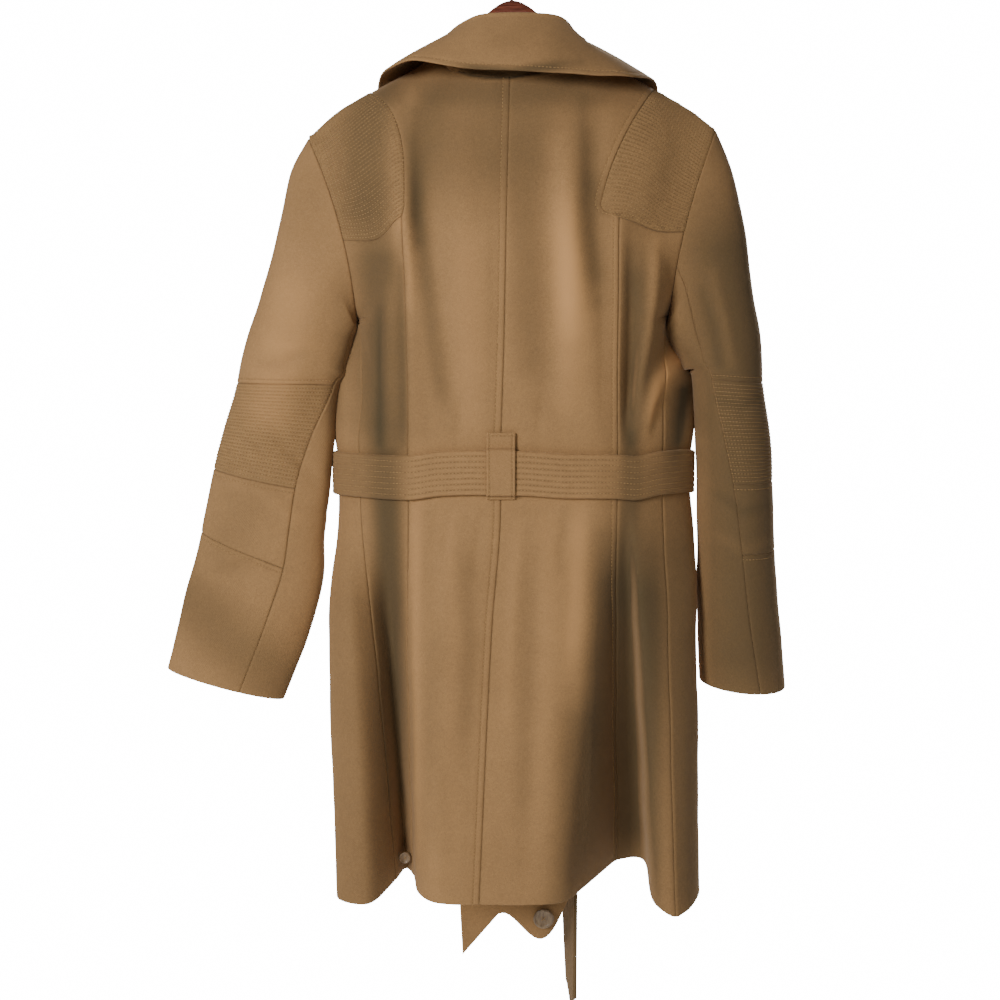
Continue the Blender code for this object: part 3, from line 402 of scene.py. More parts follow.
def top_height(side, x):
    """The neck seam between the neck points, and the shoulder line outside them."""
    out = abs(x)
    if out >= NECK_HALF:
        return ridge(side, x)
    return ridge(side, NECK_HALF) - NECK_DROP * math.sqrt(1 - (out / NECK_HALF) ** 2)


def sleeve_section(side, place):
    """Middle, width direction, half width, half depth, bow and the angles of both seams."""
    rows = np.array([row[1:] for row in SLEEVES[side]], float)
    row = smooth(range(len(rows)), rows, [place])[0]
    turn = math.radians(row[5])
    width_way = np.array([side * math.cos(turn), 0.0, math.sin(turn)])
    return row[:3] * MM, width_way, row[3] * MM, row[4] * MM, row[6] * MM, row[7], row[8]


def sleeve_point(side, place, angle):
    middle, width_way, width, depth, bow, _, _ = sleeve_section(side, place)
    c, s = math.cos(math.radians(angle)), math.sin(math.radians(angle))
    return middle + width_way * width * c + np.array([-side * bow * s * s, depth * s, 0.0])


def armhole_normal(side, angle):
    _, width_way, width, depth, _, _, _ = sleeve_section(side, 0)
    c, s = math.cos(math.radians(angle)), math.sin(math.radians(angle))
    return unit(width_way * c / width + np.array([0.0, s / depth, 0.0]))


def armhole_angles(side):
    """Angles down the back of the armhole at each row from the underarm to the shoulder."""
    middle, width_way, width, _, _, _, _ = sleeve_section(side, 0)
    foot = math.degrees(math.acos((ARM_FOOT[side] - middle[2]) / (width * width_way[2])))
    low = [180 + (foot - 180) * k / ARM_ROWS for k in range(ARM_ROWS)]
    return low + [foot * (1 - k / YOKE_ROWS) for k in range(YOKE_ROWS + 1)]


# %% Body cloth
def line_points(side, line):
    """The rows of one line down the cloth, from the hem to its top."""
    name, top, foot, chest, ribs, belt, hip, hem = line
    hem_z = hem[2] * MM
    knots = [hem_z, HIP, BELT_FOOT, BELT_TOP, RIBS, CHEST, PATCH_FOOT]
    values = np.array([hem[:2], hip, belt, belt, ribs, chest, foot], float) * MM
    spans = ((hem_z, HIP, HEM_ROWS), (HIP, BELT_FOOT, HIP_ROWS), (BELT_FOOT, BELT_TOP, BELT_ROWS),
             (BELT_TOP, CHEST, WAIST_ROWS), (CHEST, PATCH_FOOT, ARM_ROWS))
    heights = [low + (high - low) * k / rows for low, high, rows in spans for k in range(rows)]
    found = [np.array([x, y, z]) for (x, y), z in zip(smooth(knots, values, heights), heights)]
    top_x = top * MM
    foot_x, foot_y = values[-1]
    top_z = top_height(side, top_x)
    for k in range(YOKE_ROWS + 1):
        rise = math.sin(math.pi / 2 * k / YOKE_ROWS)
        z = PATCH_FOOT + (top_z - PATCH_FOOT) * rise
        x = foot_x + (top_x - foot_x) * rise
        corner = PATCH[side]["corner"] * min(CORNER_RISE * rise, 1.0) ** CORNER_POWER
        if name == "princess":
            x = foot_x - side * corner + (top_x - foot_x + side * corner) * rise ** PATCH[side]["lean"]
        elif name == "back_edge":
            x -= side * CORNER_BESIDE * corner * (1 - rise)
        reach = (z - PATCH_FOOT) / (ridge(side, x) - PATCH_FOOT)
        found.append(np.array([x, foot_y * math.sqrt(max(1 - reach * reach, 0.0)), z]))
    return np.array(found)


def lower_to_armhole(points, start, patch_x, side):
    """Lines between the princess seam and the armhole share the slope of the patch's lower edge."""
    for j in range(UNDERARM, TOP_ROW):
        share = 1 - abs(j - FOOT_ROW) / (ARM_ROWS if j < FOOT_ROW else YOKE_ROWS)
        for line in points[start:]:
            out = (abs(line[j, 0]) - patch_x) / (abs(points[-1][j, 0]) - patch_x)
            line[j, 2] += (ARM_FOOT[side] - PATCH_FOOT) * share * min(max(out, 0.0), 1.0)


def open_ghost(points, neighbour):
    """A line beyond the end of a piece: the neighbour's below the underarm, a guess above it."""
    ghost = 2 * points[0] - points[1]
    ghost[: UNDERARM + 1] = neighbour[: UNDERARM + 1]
    return ghost


def neck_height(side, x):
    """Height of the neck seam, eased across the centre back where the two sides differ."""
    share = 0.5 + 0.5 * min(abs(x) / NECK_EASE, 1.0)
    return share * top_height(side, x) + (1 - share) * top_height(-side, -x)


def seat_top(dense):
    """Puts the top of every column on the neck seam or the shoulder line."""
    for column in dense:
        top = column[TOP_ROW]
        side = 1 if top[0] >= 0 else -1
        if abs(top[0]) >= NECK_HALF - TOUCH:
            top[1], top[2] = 0.0, ridge(side, top[0])
        else:
            top[2] = neck_height(side, top[0])
            foot = column[FOOT_ROW]
            reach = (top[2] - foot[2]) / (ridge(side, top[0]) - foot[2])
            top[1] = foot[1] * math.sqrt(max(1 - reach * reach, 0.0))


def body_cloth():
    """The back from left to right and each front from its side seam, with the columns of their lines."""
    found, ghosts = {}, {}
    for side, table in ((1, LEFT), (-1, RIGHT)):
        names = [row[0] for row in table]
        lines = np.array([line_points(side, row) for row in table])
        seam, princess = names.index("side"), names.index("princess")
        back, front = lines[: seam + 1].copy(), lines[seam:].copy()
        for k, angle in enumerate(armhole_angles(side)):
            back[-1, UNDERARM + k] = sleeve_point(side, 0, angle)
            front[0, UNDERARM + k] = sleeve_point(side, 0, 360 - angle)
        lower_to_armhole(back[:-1], princess + 1, abs(back[princess, FOOT_ROW, 0]), side)
        found[side] = (names, back, front)
        ghosts[side] = (back[-2], front[1])
    names_l, back_l, _ = found[1]
    names_r, back_r, _ = found[-1]
    back = np.concatenate([back_l[:0:-1], ((back_l[0] + back_r[0]) / 2)[None], back_r[1:]])
    names = [n + "_left" for n in names_l[len(back_l) - 1 : 0 : -1]] + ["centre_back"]
    names += [n + "_right" for n in names_r[1 : len(back_r)]]
    dense = through(back, STEPS, open_ghost(back, ghosts[1][1]), open_ghost(back[::-1], ghosts[-1][1]))
    seat_top(dense[1:-1])
    made = {"back": (dense, {n: i * STEPS for i, n in enumerate(names)})}
    for side, (all_names, _, front) in found.items():
        dense = through(front, STEPS, open_ghost(front, ghosts[side][0]))
        seat_top(dense[1:])
        front_names = all_names[len(all_names) - len(front) :]
        made[side] = (dense, {n: i * STEPS for i, n in enumerate(front_names)})
    return made


def body_normals(made):
    """Outward normals, shared where two pieces meet."""
    back = facing(normals_of(made["back"][0]), made["back"][1]["centre_back"], UNDERARM)
    fronts = {}
    for side in (1, -1):
        fronts[side] = facing(normals_of(made[side][0]), -1, UNDERARM, -1)
        edge = 0 if side == 1 else -1
        shared = unit(back[edge, : UNDERARM + 1] + fronts[side][0, : UNDERARM + 1])
        back[edge, : UNDERARM + 1] = shared
        fronts[side][0, : UNDERARM + 1] = shared
        for k, angle in enumerate(armhole_angles(side)):
            back[edge, UNDERARM + k] = armhole_normal(side, angle)
            fronts[side][0, UNDERARM + k] = armhole_normal(side, 360 - angle)
    for grid, normals in ((made["back"][0], back), (made[1][0], fronts[1]), (made[-1][0], fronts[-1])):
        outside = np.abs(grid[:, TOP_ROW, 0]) >= NECK_HALF - TOUCH
        normals[outside, TOP_ROW, 1] = 0.0
        normals[outside, TOP_ROW, 2] = np.abs(normals[outside, TOP_ROW, 2]) + RIDGE_LIFT
        normals[:, TOP_ROW] = unit(normals[:, TOP_ROW])
        for k in range(3):
            normals[~outside, TOP_ROW - k] = normals[~outside, TOP_ROW - 3]
    return back, fronts


made = body_cloth()
print("back grid:", made["back"][0].shape[:2], "fronts:", made[1][0].shape[:2], made[-1][0].shape[:2])

# %% [markdown]
# ## Folds laid in
# Heavy wool hangs in broad, soft folds, with a few tighter ones where an arm or the belt holds it.
# A cloth solver would find its own folds, not this coat's. So each fold is a row of a table: which face
# it is on, how far it stands out or sinks, how wide it is, and the path it follows. A little slow
# waviness from a few crossing sine waves keeps the calm stretches from looking pressed.

# %% Table of folds
FOLDS = {  # for each face, rows of: rise, half width, path of (x, z)
    "back": (
        (3.6, 8, ((109, -165), (109, -232), (112, -284), (113, -340), (112, -400))),
        (-3.4, 13, ((88, -180), (91, -242), (94, -327), (96, -424), (96, -534))),
        (2.0, 17, ((54, -200), (54, -306), (51, -424), (46, -523))),
        (-1.2, 7, ((18, -240), (19, -400), (20, -530))),
        (3.4, 17, ((-58, -200), (-63, -270), (-68, -350), (-66, -430), (-62, -500))),
        (-3.6, 11, ((-86, -180), (-90, -242), (-97, -348), (-104, -457), (-106, -545))),
        (3.0, 7, ((-160, -330), (-158, -370), (-152, -420), (-142, -480), (-136, -530))),
        (-1.6, 5, ((-176, -352), (-186, -380), (-190, -400))),
        (1.6, 5, ((-170, -362), (-179, -392), (-182, -420))),
        (-2.2, 6, ((-172, -470), (-164, -510), (-158, -545))),
        (-2.4, 6, ((-129, -330), (-132, -400), (-134, -480), (-134, -550))),
        (-2.2, 5, ((146, -400), (149, -470), (150, -550))),
        (2.2, 6, ((134, -380), (135, -450), (135, -550))),
        (-2.4, 6, ((121, -360), (121, -440), (120, -550))),
        (2.0, 15, ((66, -640), (72, -772), (82, -936), (86, -1057))),
        (-1.8, 10, ((92, -630), (96, -749), (102, -913), (106, -1057))),
        (2.4, 18, ((-40, -640), (-44, -772), (-44, -913), (-40, -1057))),
        (-3.0, 12, ((-98, -650), (-100, -749), (-94, -860), (-84, -960), (-76, -1050))),
        (1.8, 8, ((-10, -640), (-2, -740), (6, -860))),
        (-1.4, 5, ((-60, -622), (-58, -650), (-54, -690))),
        (-1.3, 5, ((34, -622), (38, -655), (42, -700))),
        (-1.2, 4, ((70, -622), (74, -650), (76, -680))),
        (-1.3, 5, ((-28, -556), (-30, -520), (-34, -480))),
        (-1.2, 4, ((62, -556), (60, -528), (56, -490))),
        (5.0, 10, ((-199, -446), (-175, -470), (-155, -507), (-146, -556))),
        (-4.5, 10, ((-205, -486), (-194, -525), (-186, -560))),
        (2.6, 7, ((-198, -391), (-200, -424), (-203, -448))),
        (-2.6, 6, ((-188, -374), (-191, -413), (-194, -441))),
        (3.2, 10, ((130, -186), (128, -252), (127, -326))),
        (-3.0, 10, ((107, -190), (106, -253), (102, -327))),
        (3.0, 15, ((-51, -222), (-58, -306), (-66, -424))),
        (-3.0, 11, ((-86, -212), (-84, -285), (-92, -392))),
    ),
    "front": (
        (-5.1, 9, ((150, -330), (128, -400), (96, -470), (60, -540))),
        (4.1, 9, ((160, -380), (134, -440), (104, -500), (74, -548))),
        (-4.4, 8, ((-150, -330), (-136, -410), (-118, -480), (-100, -545))),
        (4.4, 9, ((-168, -400), (-148, -460), (-124, -520), (-106, -552))),
        (-3.7, 7, ((-96, -380), (-84, -450), (-74, -545))),
        (-6.8, 12, ((-112, -625), (-116, -760), (-112, -900), (-106, -1070))),
        (6.1, 14, ((-140, -640), (-148, -780), (-156, -930), (-160, -1070))),
        (-3.7, 8, ((-50, -625), (-44, -740), (-40, -860))),
        (4.1, 12, ((-8, -640), (-4, -780), (-2, -940), (-2, -1100))),
        (-3.4, 7, ((24, -622), (30, -700), (38, -820))),
        (-6.1, 12, ((122, -625), (128, -760), (132, -900), (134, -1060))),
        (5.1, 13, ((96, -640), (98, -780), (98, -930), (96, -1060))),
        (-2.7, 5, ((150, -622), (156, -670), (160, -720))),
    ),
    "side": (
        (8.0, 34, ((186, -400), (196, -470), (202, -600))),
        (7.5, 34, ((-186, -400), (-204, -480), (-202, -640), (-206, -740))),
    ),
    "arm": (
        (8.5, 18, ((176, -380), (196, -470), (212, -560), (222, -640))),
        (4.0, 12, ((178, -372), (186, -400), (190, -430))),
        (9.5, 19, ((-178, -380), (-208, -480), (-216, -560), (-217, -860))),
        (9.0, 16, ((-180, -376), (-196, -412), (-204, -450))),
    ),
    "sleeve": (
        (-2.2, 7, ((236, -452), (256, -462), (284, -460))),
        (1.8, 8, ((228, -440), (252, -442), (276, -436))),
        (-1.8, 6, ((226, -600), (252, -560), (272, -548))),
        (1.8, 8, ((250, -640), (284, -610), (316, -600))),
        (-1.6, 7, ((264, -700), (300, -690), (340, -700))),
        (-2.2, 6, ((-212, -380), (-226, -420), (-232, -462))),
        (2.2, 7, ((-224, -360), (-238, -410), (-246, -460))),
        (-1.8, 6, ((-232, -500), (-256, -508), (-284, -500))),
        (-1.6, 6, ((-236, -610), (-262, -628), (-292, -622))),
        (1.6, 8, ((-240, -660), (-268, -672), (-300, -662))),
    ),
}
WAVES = ((31, 0.4, 17, 0.7), (12, 2.1, 26, 0.5), (47, 5.0, 9, 0.35), (19, 1.3, 41, 0.3))
rises = [rise for rows in FOLDS.values() for rise, _, _ in rows]
print("folds laid in:", len(rises), "from", min(rises), "to", max(rises), "mm")

# %% [markdown]
# ## Painted shade and painted highlights
# Shade and light are painted into the cloth's colour: painted shade in the bottoms of folds, under the collar
# and on faces turned from the lamps, and painted highlights on crests. The second table has the same kind of
# rows.
# A depth above zero is painted shade towards the wool's darker shade, and one below zero a painted highlight
# towards a warmer, lighter brown.

# %% Table of painted shade and highlights
# Painted shade and painted highlights: a depth above zero is painted shade, below zero a painted highlight.
PAINTED_SHADING_TABLE = {  # for each face, rows of: depth, half width, path of (x, z)
    "back": (
        (0.72, 30, ((146, -290), (146, -424), (146, -600))),
        (0.38, 6, ((120, -322), (120, -424), (121, -580))),
        (0.35, 4, ((147, -413), (146, -580))),
        (0.62, 34, ((140, -100), (160, -220), (164, -350))),
        (0.45, 9, ((112, -190), (110, -260), (108, -330))),
        (-0.42, 11, ((126, -190), (120, -290), (114, -420))),
        (-0.34, 18, ((-50, -190), (-58, -290), (-66, -460))),
        (-0.1, 16, ((44, -300), (42, -400), (38, -500))),
        (-0.34, 12, ((-78, -600), (-74, -720), (-66, -840))),
        (-0.24, 11, ((108, -560), (112, -760), (112, -1160))),
        (-0.26, 8, ((-172, -600), (-176, -760), (-180, -1160))),
        (-0.55, 13, ((-203, -420), (-186, -452), (-164, -490), (-150, -540))),
        (0.74, 20, ((144, -430), (141, -620), (138, -777), (137, -920), (135, -1160))),
        (0.5, 74, ((190, -226), (0, -216), (-66, -226), (-90, -226))),
        (0.46, 20, ((140, -160), (0, -168), (-160, -160))),
        (0.42, 11, ((104, -191), (102, -301), (89, -392), (79, -478), (68, -533))),
        (0.34, 19, ((-11, -232), (-17, -349), (-22, -435), (-31, -500))),
        (0.36, 13, ((-84, -232), (-82, -317), (-96, -392))),
        (0.72, 15, ((-134, -300), (-141, -413), (-138, -501), (-132, -590))),
        (0.85, 12, ((-204, -478), (-194, -514), (-184, -570))),
        (0.55, 17, ((141, -540), (140, -680), (137, -800), (136, -960))),
        (0.6, 13, ((-137, -470), (-134, -600), (-130, -700), (-128, -780))),
        (0.78, 32, ((-126, -600), (-121, -782), (-116, -911), (-106, -1200))),
        (0.46, 28, ((-84, -800), (-70, -958), (-50, -1180))),
        (0.58, 28, ((-182, -560), (-197, -848), (-211, -1200))),
        (0.85, 25, ((-148, -600), (-152, -800), (-150, -940), (-152, -1180))),
        (0.34, 34, ((190, -620), (180, -900), (177, -1200))),
        (0.26, 10, ((55, -634), (47, -771), (56, -911))),
        (0.24, 11, ((-20, -632), (-16, -837), (-10, -1026))),
        (0.2, 13, ((80, -722), (88, -861), (82, -1050))),
        (0.9, 1.6, ((-90, -129), (-46, -144), (-28, -148), (0, -153), (30, -153), (46, -149), (90, -131))),
        (-0.35, 1.4, ((-90, -133), (-46, -148), (-28, -152), (0, -157), (30, -157), (46, -153), (90, -135))),
    ),
    "sleeve": (
        (-0.24, 26, ((236, -330), (262, -460), (286, -560))),
        (0.8, 74, ((-239, -216), (-265, -503), (-280, -1000))),
        (0.16, 30, ((218, -226), (237, -346))),
        (0.24, 34, ((286, -560), (318, -640), (352, -720))),
        (0.46, 40, ((420, -700), (329, -784), (230, -880))),
        (0.25, 11, ((186, -335), (194, -446), (216, -548))),
    ),
    "side": (
        (-0.6, 16, ((-203, -400), (-196, -450), (-176, -480))),
        (0.35, 40, ((190, -380), (196, -560))),
        (0.35, 40, ((-190, -380), (-204, -560))),
    ),
    "belt": (
        (0.95, 80, ((-60, -760), (-60, -1500))),
        (0.42, 50, ((260, -590), (120, -595))),
        (0.42, 50, ((-130, -595), (-270, -600))),
    ),
    "front": (
        (0.3, 50, ((-120, -150), (0, -300), (100, -150))),
        (0.22, 26, ((-112, -560), (-110, -1160))),
        (0.22, 26, ((124, -560), (134, -1160))),
    ),
    "arm": (
        (0.35, 22, ((178, -400), (212, -560))),
        (0.35, 22, ((-182, -400), (-216, -560))),
    ),
    "collar": (
        (0.36, 39, ((-20, -112), (-98, -130), (-159, -155))),
        (0.12, 18, ((13, -107), (8, -128))),
        (0.75, 6, ((-72, -142), (0, -153), (72, -147))),
    ),
}
# The strongest painted highlight that a place can take.
STRONGEST_PAINTED_HIGHLIGHT = -0.6  # tone of the palest cloth
print("tones laid in:", sum(len(rows) for rows in PAINTED_SHADING_TABLE.values()))


# %% Laying the folds in
FACE_SHARE, SIDE_SHARE, BELT_POWER = 1.6, 1.3, 0.3  # how soon a place belongs wholly to a face
BODY_FACES = ("back", "front", "side")


def distance_to_path(x, z, path):
    """Distance from points to a broken line, and how far along the line the nearest place is."""
    best = np.full(x.shape, 1e9)
    along = np.zeros(x.shape)
    for k, ((x0, z0), (x1, z1)) in enumerate(zip(path, path[1:])):
        dx, dz = x1 - x0, z1 - z0
        t = np.clip(((x - x0) * dx + (z - z0) * dz) / (dx * dx + dz * dz), 0, 1)
        away = np.hypot(x - x0 - t * dx, z - z0 - t * dz)
        nearer = away < best
        best = np.where(nearer, away, best)
        along = np.where(nearer, (k + t) / (len(path) - 1), along)
    return best, along


def facings(normals):
    """How much each place belongs to the back, the front and the sides, from 0 to 1."""
    back = np.clip(normals[..., 1] * FACE_SHARE, 0, 1)
    front = np.clip(-normals[..., 1] * FACE_SHARE, 0, 1)
    beside = np.clip(np.abs(normals[..., 0]) * SIDE_SHARE, 0, 1)
    return {"back": back, "sleeve": back, "collar": back, "belt": back ** BELT_POWER, "front": front,
            "side": beside, "arm": beside}


def fold_rise(grid, normals, faces):
    """How far the cloth moves out along its normals, in metres."""
    x, z = grid[..., 0] / MM, grid[..., 2] / MM
    rise = np.zeros(x.shape)
    share = facings(normals)
    for face in (f for f in FOLDS if f in faces):
        for height, half, path in FOLDS[face]:
            away, along = distance_to_path(x, z, path)
            ends = np.sqrt(np.clip(np.sin(math.pi * np.clip(along, 0.02, 0.98)), 0, 1))
            rise += height * np.exp(-((away / half) ** 2)) * ends * share[face]
    for fx, px, fz, height in WAVES:
        rise += height * np.sin(x / 1000 * fx + px + 2 * np.sin(z / 1000 * fz)) * np.cos(z / 1000 * fz + px)
    return rise * MM


FADES_OVER, FAINTEST_END = 0.2, 0.3  # shares of a tone's path, and of its depth
TONE_EDGE = 2.6  # 2 is a bell, more has a flatter middle and a firmer edge
# Painted shade for each millimetre that a fold sinks, painted highlight for each millimetre that it rises.
FOLD_PAINTED_SHADING = 0.045  # tone for each millimetre that a fold rises or sinks


def painted_shading_at(points, normals, faces):
    """Painted shade and painted highlight at points: painted shade in the bottoms of folds and where light
    seldom falls, painted highlight on crests and lit places.
    """
    x, z = points[..., 0] / MM, points[..., 2] / MM
    share = facings(normals)
    painted_shading = np.zeros(x.shape)
    for face in (f for f in PAINTED_SHADING_TABLE if f in faces):
        for depth, half, path in PAINTED_SHADING_TABLE[face]:
            away, along = distance_to_path(x, z, path)
            ends = np.clip(np.minimum(along, 1 - along) / FADES_OVER, FAINTEST_END, 1)
            painted_shading += depth * ends * np.exp(-((away / half) ** TONE_EDGE)) * share[face] * (1 - painted_shading)
    # Painted shade in the valleys of the folds and painted highlight on their crests.
    for face in (f for f in FOLDS if f in faces and f not in ("side", "arm")):
        for height, half, path in FOLDS[face]:
            away, _ = distance_to_path(x, z, path)
            painted_shading -= FOLD_PAINTED_SHADING * height * np.exp(-((away / half) ** 2)) * share[face]
    return np.clip(painted_shading, STRONGEST_PAINTED_HIGHLIGHT, 1)


BELT_HOLDS, BELT_REACH = 0.85, 0.75  # share of a fold that the belt presses flat, and how far from it
TOP_HELD, EDGE_HELD, UNDERARM_EASE = 10, 6, 14  # rows or columns over which a fold comes in


def fold_body(made):
    """The body with its folds, held still at the belt, the shoulders and where other pieces join it."""
    back, fronts = body_normals(made)
    rows = np.arange(TOP_ROW + 1)
    belt = np.exp(-(((rows - BELT_ROW - BELT_ROWS / 2) / (BELT_REACH * BELT_ROWS)) ** 2))
    hold = (1 - BELT_HOLDS * belt) * np.clip((TOP_ROW - rows) / TOP_HELD, 0, 1)
    below = np.clip((UNDERARM - rows) / UNDERARM_EASE, 0, 1)[None, :]
    folded = {}
    for key, normals in (("back", back), (1, fronts[1]), (-1, fronts[-1])):
        grid, at = made[key]
        rise = fold_rise(grid, normals, BODY_FACES) * hold
        edge = np.arange(len(grid))
        if key == "back":
            edge = np.minimum(edge, edge[::-1])
        still = np.maximum(np.clip(edge / EDGE_HELD, 0, 1)[:, None], below)
        folded[key] = (grid + (rise * still)[..., None] * normals, at)
    return folded


made = fold_body(made)
back_normals, front_normals = body_normals(made)
lowest = min(grid[..., 2].min() for grid, _ in made.values())
print("folded; the front corner hangs to", round(float(lowest), 3), "m")

# %% [markdown]
# ## Edges of a cut piece
# What makes cloth look sewn is its edges. At a seam the cloth dips into a narrow groove. Beside some
# seams a row of topstitching presses a second, shallower line. At a hem or a free edge the cloth turns
# over and its corner is round. Each edge gets a short profile of distance and drop, and extra columns
# are laid just there, so that the grooves are real shape and the rest of the panel stays light.

# %% Edge profiles
SEAM = ((0.0, 1.2, 0.0), (0.35, 0.95, 0.0), (0.9, 0.52, 0.0),  # distance, drop, lift
        (1.7, 0.2, 0.0), (2.8, 0.05, 0.0), (4.2, 0.0, 0.0))
FREE = ((0.0, 0.9, 0.9), (0.35, 0.35, 0.35), (0.9, 0.08, 0.08), (2.0, 0.0, 0.0))
ROW = ((-1.5, 0.0), (-0.7, 0.25), (0.0, 0.6), (0.7, 0.25), (1.5, 0.0))  # distance from the thread, drop
ROW_ROOM, ROW_GROOVE = 1.6, 1.1
DROP, LIFT, GROOVE = 6, 7, 8  # columns of a sheet, after its point and its normal
CLEAR = 0.6 * MM  # a plain column keeps this far from an edge's own columns
MOST_EDGE, MOST_ROW = 0.92, 0.9  # shares of a narrow panel that its edges and its rows may take
THREAD_SUNK = 0.25 * MM


def edge_profile(kind, rows=()):
    """Distances in from the edge, with the drop of the outer face, the rise of the inner one and a groove."""
    found = {}
    for distance, drop, lift in SEAM if kind == "seam" else FREE:
        found[distance] = (drop, lift, drop / SEAM[0][1] if kind == "seam" else 0.0)
    for middle in rows:
        found = {d: v for d, v in found.items() if d < middle - ROW_ROOM or d > middle + ROW_ROOM}
        for away, drop in ROW:
            found[middle + away] = (drop, 0.0, drop / ROW_GROOVE)
    return [(d * MM, drop * MM, lift * MM, groove) for d, (drop, lift, groove) in sorted(found.items())]


def lay_edges(sheet, first, last):
    """Extra columns beside both ends of axis 0 of a sheet, with their drop, lift and groove."""
    arc = run_length(sheet[..., :3], 0)
    total = arc[-1]
    near, far = first[-1][0], last[-1][0]
    scale = np.minimum(1.0, MOST_EDGE * total / (near + far))
    clear = (arc > near * scale + CLEAR) & (total - arc > far * scale + CLEAR)
    wanted = [(d * scale, extra) for d, *extra in first]
    wanted += [(arc[i], None) for i in range(len(sheet)) if clear[i].all()]
    wanted += [(total - d * scale, extra) for d, *extra in last[::-1]]
    found = []
    for places, extra in wanted:
        row = np.empty_like(sheet[0])
        for j in range(sheet.shape[1]):
            i, t = place_between(arc[:, j], places[j])
            row[j] = sheet[i, j] + t * (sheet[i + 1, j] - sheet[i, j])
        if extra:
            row[:, DROP] += extra[0]
            row[:, LIFT] = np.maximum(row[:, LIFT], extra[1])
            row[:, GROOVE] = np.maximum(row[:, GROOVE], extra[2])
        found.append(row)
    return np.array(found)


# %% From points to a mesh
sewn = {}


def closed_mesh(name, points, groups, material):
    """A smooth mesh with its faces outward; the faces in one group have the same number of corners."""
    points = np.asarray(points, float)
    volume = 0.0
    for faces in groups:
        corners = points[faces]
        for k in range(1, faces.shape[1] - 1):
            volume += np.einsum("ij,ij->", corners[:, 0], np.cross(corners[:, k], corners[:, k + 1]))
    if volume < 0:
        groups = [faces[:, ::-1] for faces in groups]
    mesh = bpy.data.meshes.new(name)
    mesh.from_pydata(points.tolist(), [], [face for faces in groups for face in faces.tolist()])
    mesh.shade_smooth()
    mesh.materials.append(material)
    return mesh


def dressed(name, mesh):
    """Shows a mesh in place of its construction node, riding on the root."""
    made_piece = bpy.data.objects.new(f"{name}_shown", mesh)
    scene.collection.objects.link(made_piece)
    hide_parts(name)
    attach(made_piece, "root")
    sewn[name] = made_piece
    return made_piece


def ring_faces(index):
    """Quads between closed rings of points, each a row of the index."""
    turned = np.roll(index, -1, axis=1)
    return np.stack([index[:-1], turned[:-1], turned[1:], index[1:]], axis=-1).reshape(-1, 4)


def cap(row):
    """Quads that close one ring, from side to side."""
    return np.array([(row[i], row[i + 1], row[-2 - i], row[-1 - i]) for i in range(len(row) // 2 - 1)])


# %% A sewn panel
SEWN, TURNED = ("seam", ()), ("free", ())  # how an edge is finished, and its rows of topstitching
PLAIN = {"first": SEWN, "last": SEWN, "low": SEWN, "high": SEWN}
# The belt takes less of the painted shade and highlight around it, since it lies proud.
BELT_PAINTED_SHADING = 0.8  # the belt lies proud, so less of the tone around it falls on it
flat_sizes, stitch_rows = {}, {}


def rows_beside(sheet, end, distances, group):
    """Notes where the thread runs: points on the sheet at set distances from one edge."""
    sheet = sheet.transpose(1, 0, 2) if end in ("low", "high") else sheet
    sheet = sheet[::-1] if end in ("last", "high") else sheet
    seat = sheet[..., :3] - sheet[..., 3:6] * (sheet[..., DROP, None] - THREAD_SUNK)
    arc = run_length(sheet[..., :3], 0)
    for distance in distances:
        line = []
        for j in range(arc.shape[1]):
            i, t = place_between(arc[:, j], min(distance * MM, MOST_ROW * arc[-1, j]))
            line.append(seat[i, j] + t * (seat[i + 1, j] - seat[i, j]))
        stitch_rows.setdefault(group, []).append(np.array(line)[1:-1])


def panel(name, grid, normals, material, edges, group, quilt=None):
    """A wall of cloth on a grid of points, with its edges, stitched rows and quilting."""
    edges = {**PLAIN, **edges}
    sheet = np.concatenate([grid, normals, np.zeros(grid.shape[:2] + (3,))], axis=-1)
    profiles = {end: edge_profile(*edges[end]) for end in edges}
    sheet = lay_edges(sheet, profiles["first"], profiles["last"])
    sheet = lay_edges(sheet.transpose(1, 0, 2), profiles["low"], profiles["high"]).transpose(1, 0, 2)
    sheet[..., 3:6] = unit(sheet[..., 3:6])
    if quilt:
        press_quilting(sheet, group, **quilt)
    for end, (_, distances) in edges.items():
        if distances:
            rows_beside(sheet, end, distances, group)
    outer = sheet[..., :3] - sheet[..., 3:6] * sheet[..., DROP, None]
    inner = sheet[..., :3] - sheet[..., 3:6] * (CLOTH - sheet[..., LIFT, None])
    return wall(name, outer, inner, sheet[..., GROOVE], material)


def wall(name, outer, inner, groove, material):
    """Closes an outer and an inner grid into a thin shell, with its cloth map."""
    across, along = outer.shape[:2]
    index = np.arange(across * along).reshape(across, along)
    a, b, c, d = index[:-1, :-1], index[1:, :-1], index[1:, 1:], index[:-1, 1:]
    top = np.stack([a, b, c, d], axis=-1).reshape(-1, 4)
    rim = np.concatenate([index[:, 0], index[-1, 1:], index[-2::-1, -1], index[0, -2:0:-1]])
    turned = np.roll(rim, -1)
    side = np.stack([turned, rim, rim + index.size, turned + index.size], axis=-1)
    faces = np.concatenate([top, top[:, ::-1] + index.size, side])
    u, v = run_length(outer, 0), run_length(outer, 1)
    flat_sizes[name] = (float(u[-1].max()), float(v[:, -1].max()), quad_area(outer))
    flat = np.stack([u, v], axis=-1).reshape(-1, 2)
    points = np.concatenate([outer.reshape(-1, 3), inner.reshape(-1, 3)])
    return cloth_piece(name, points, faces, material, np.concatenate([flat, flat]),
                       np.concatenate([groove.ravel(), 0 * groove.ravel()]))


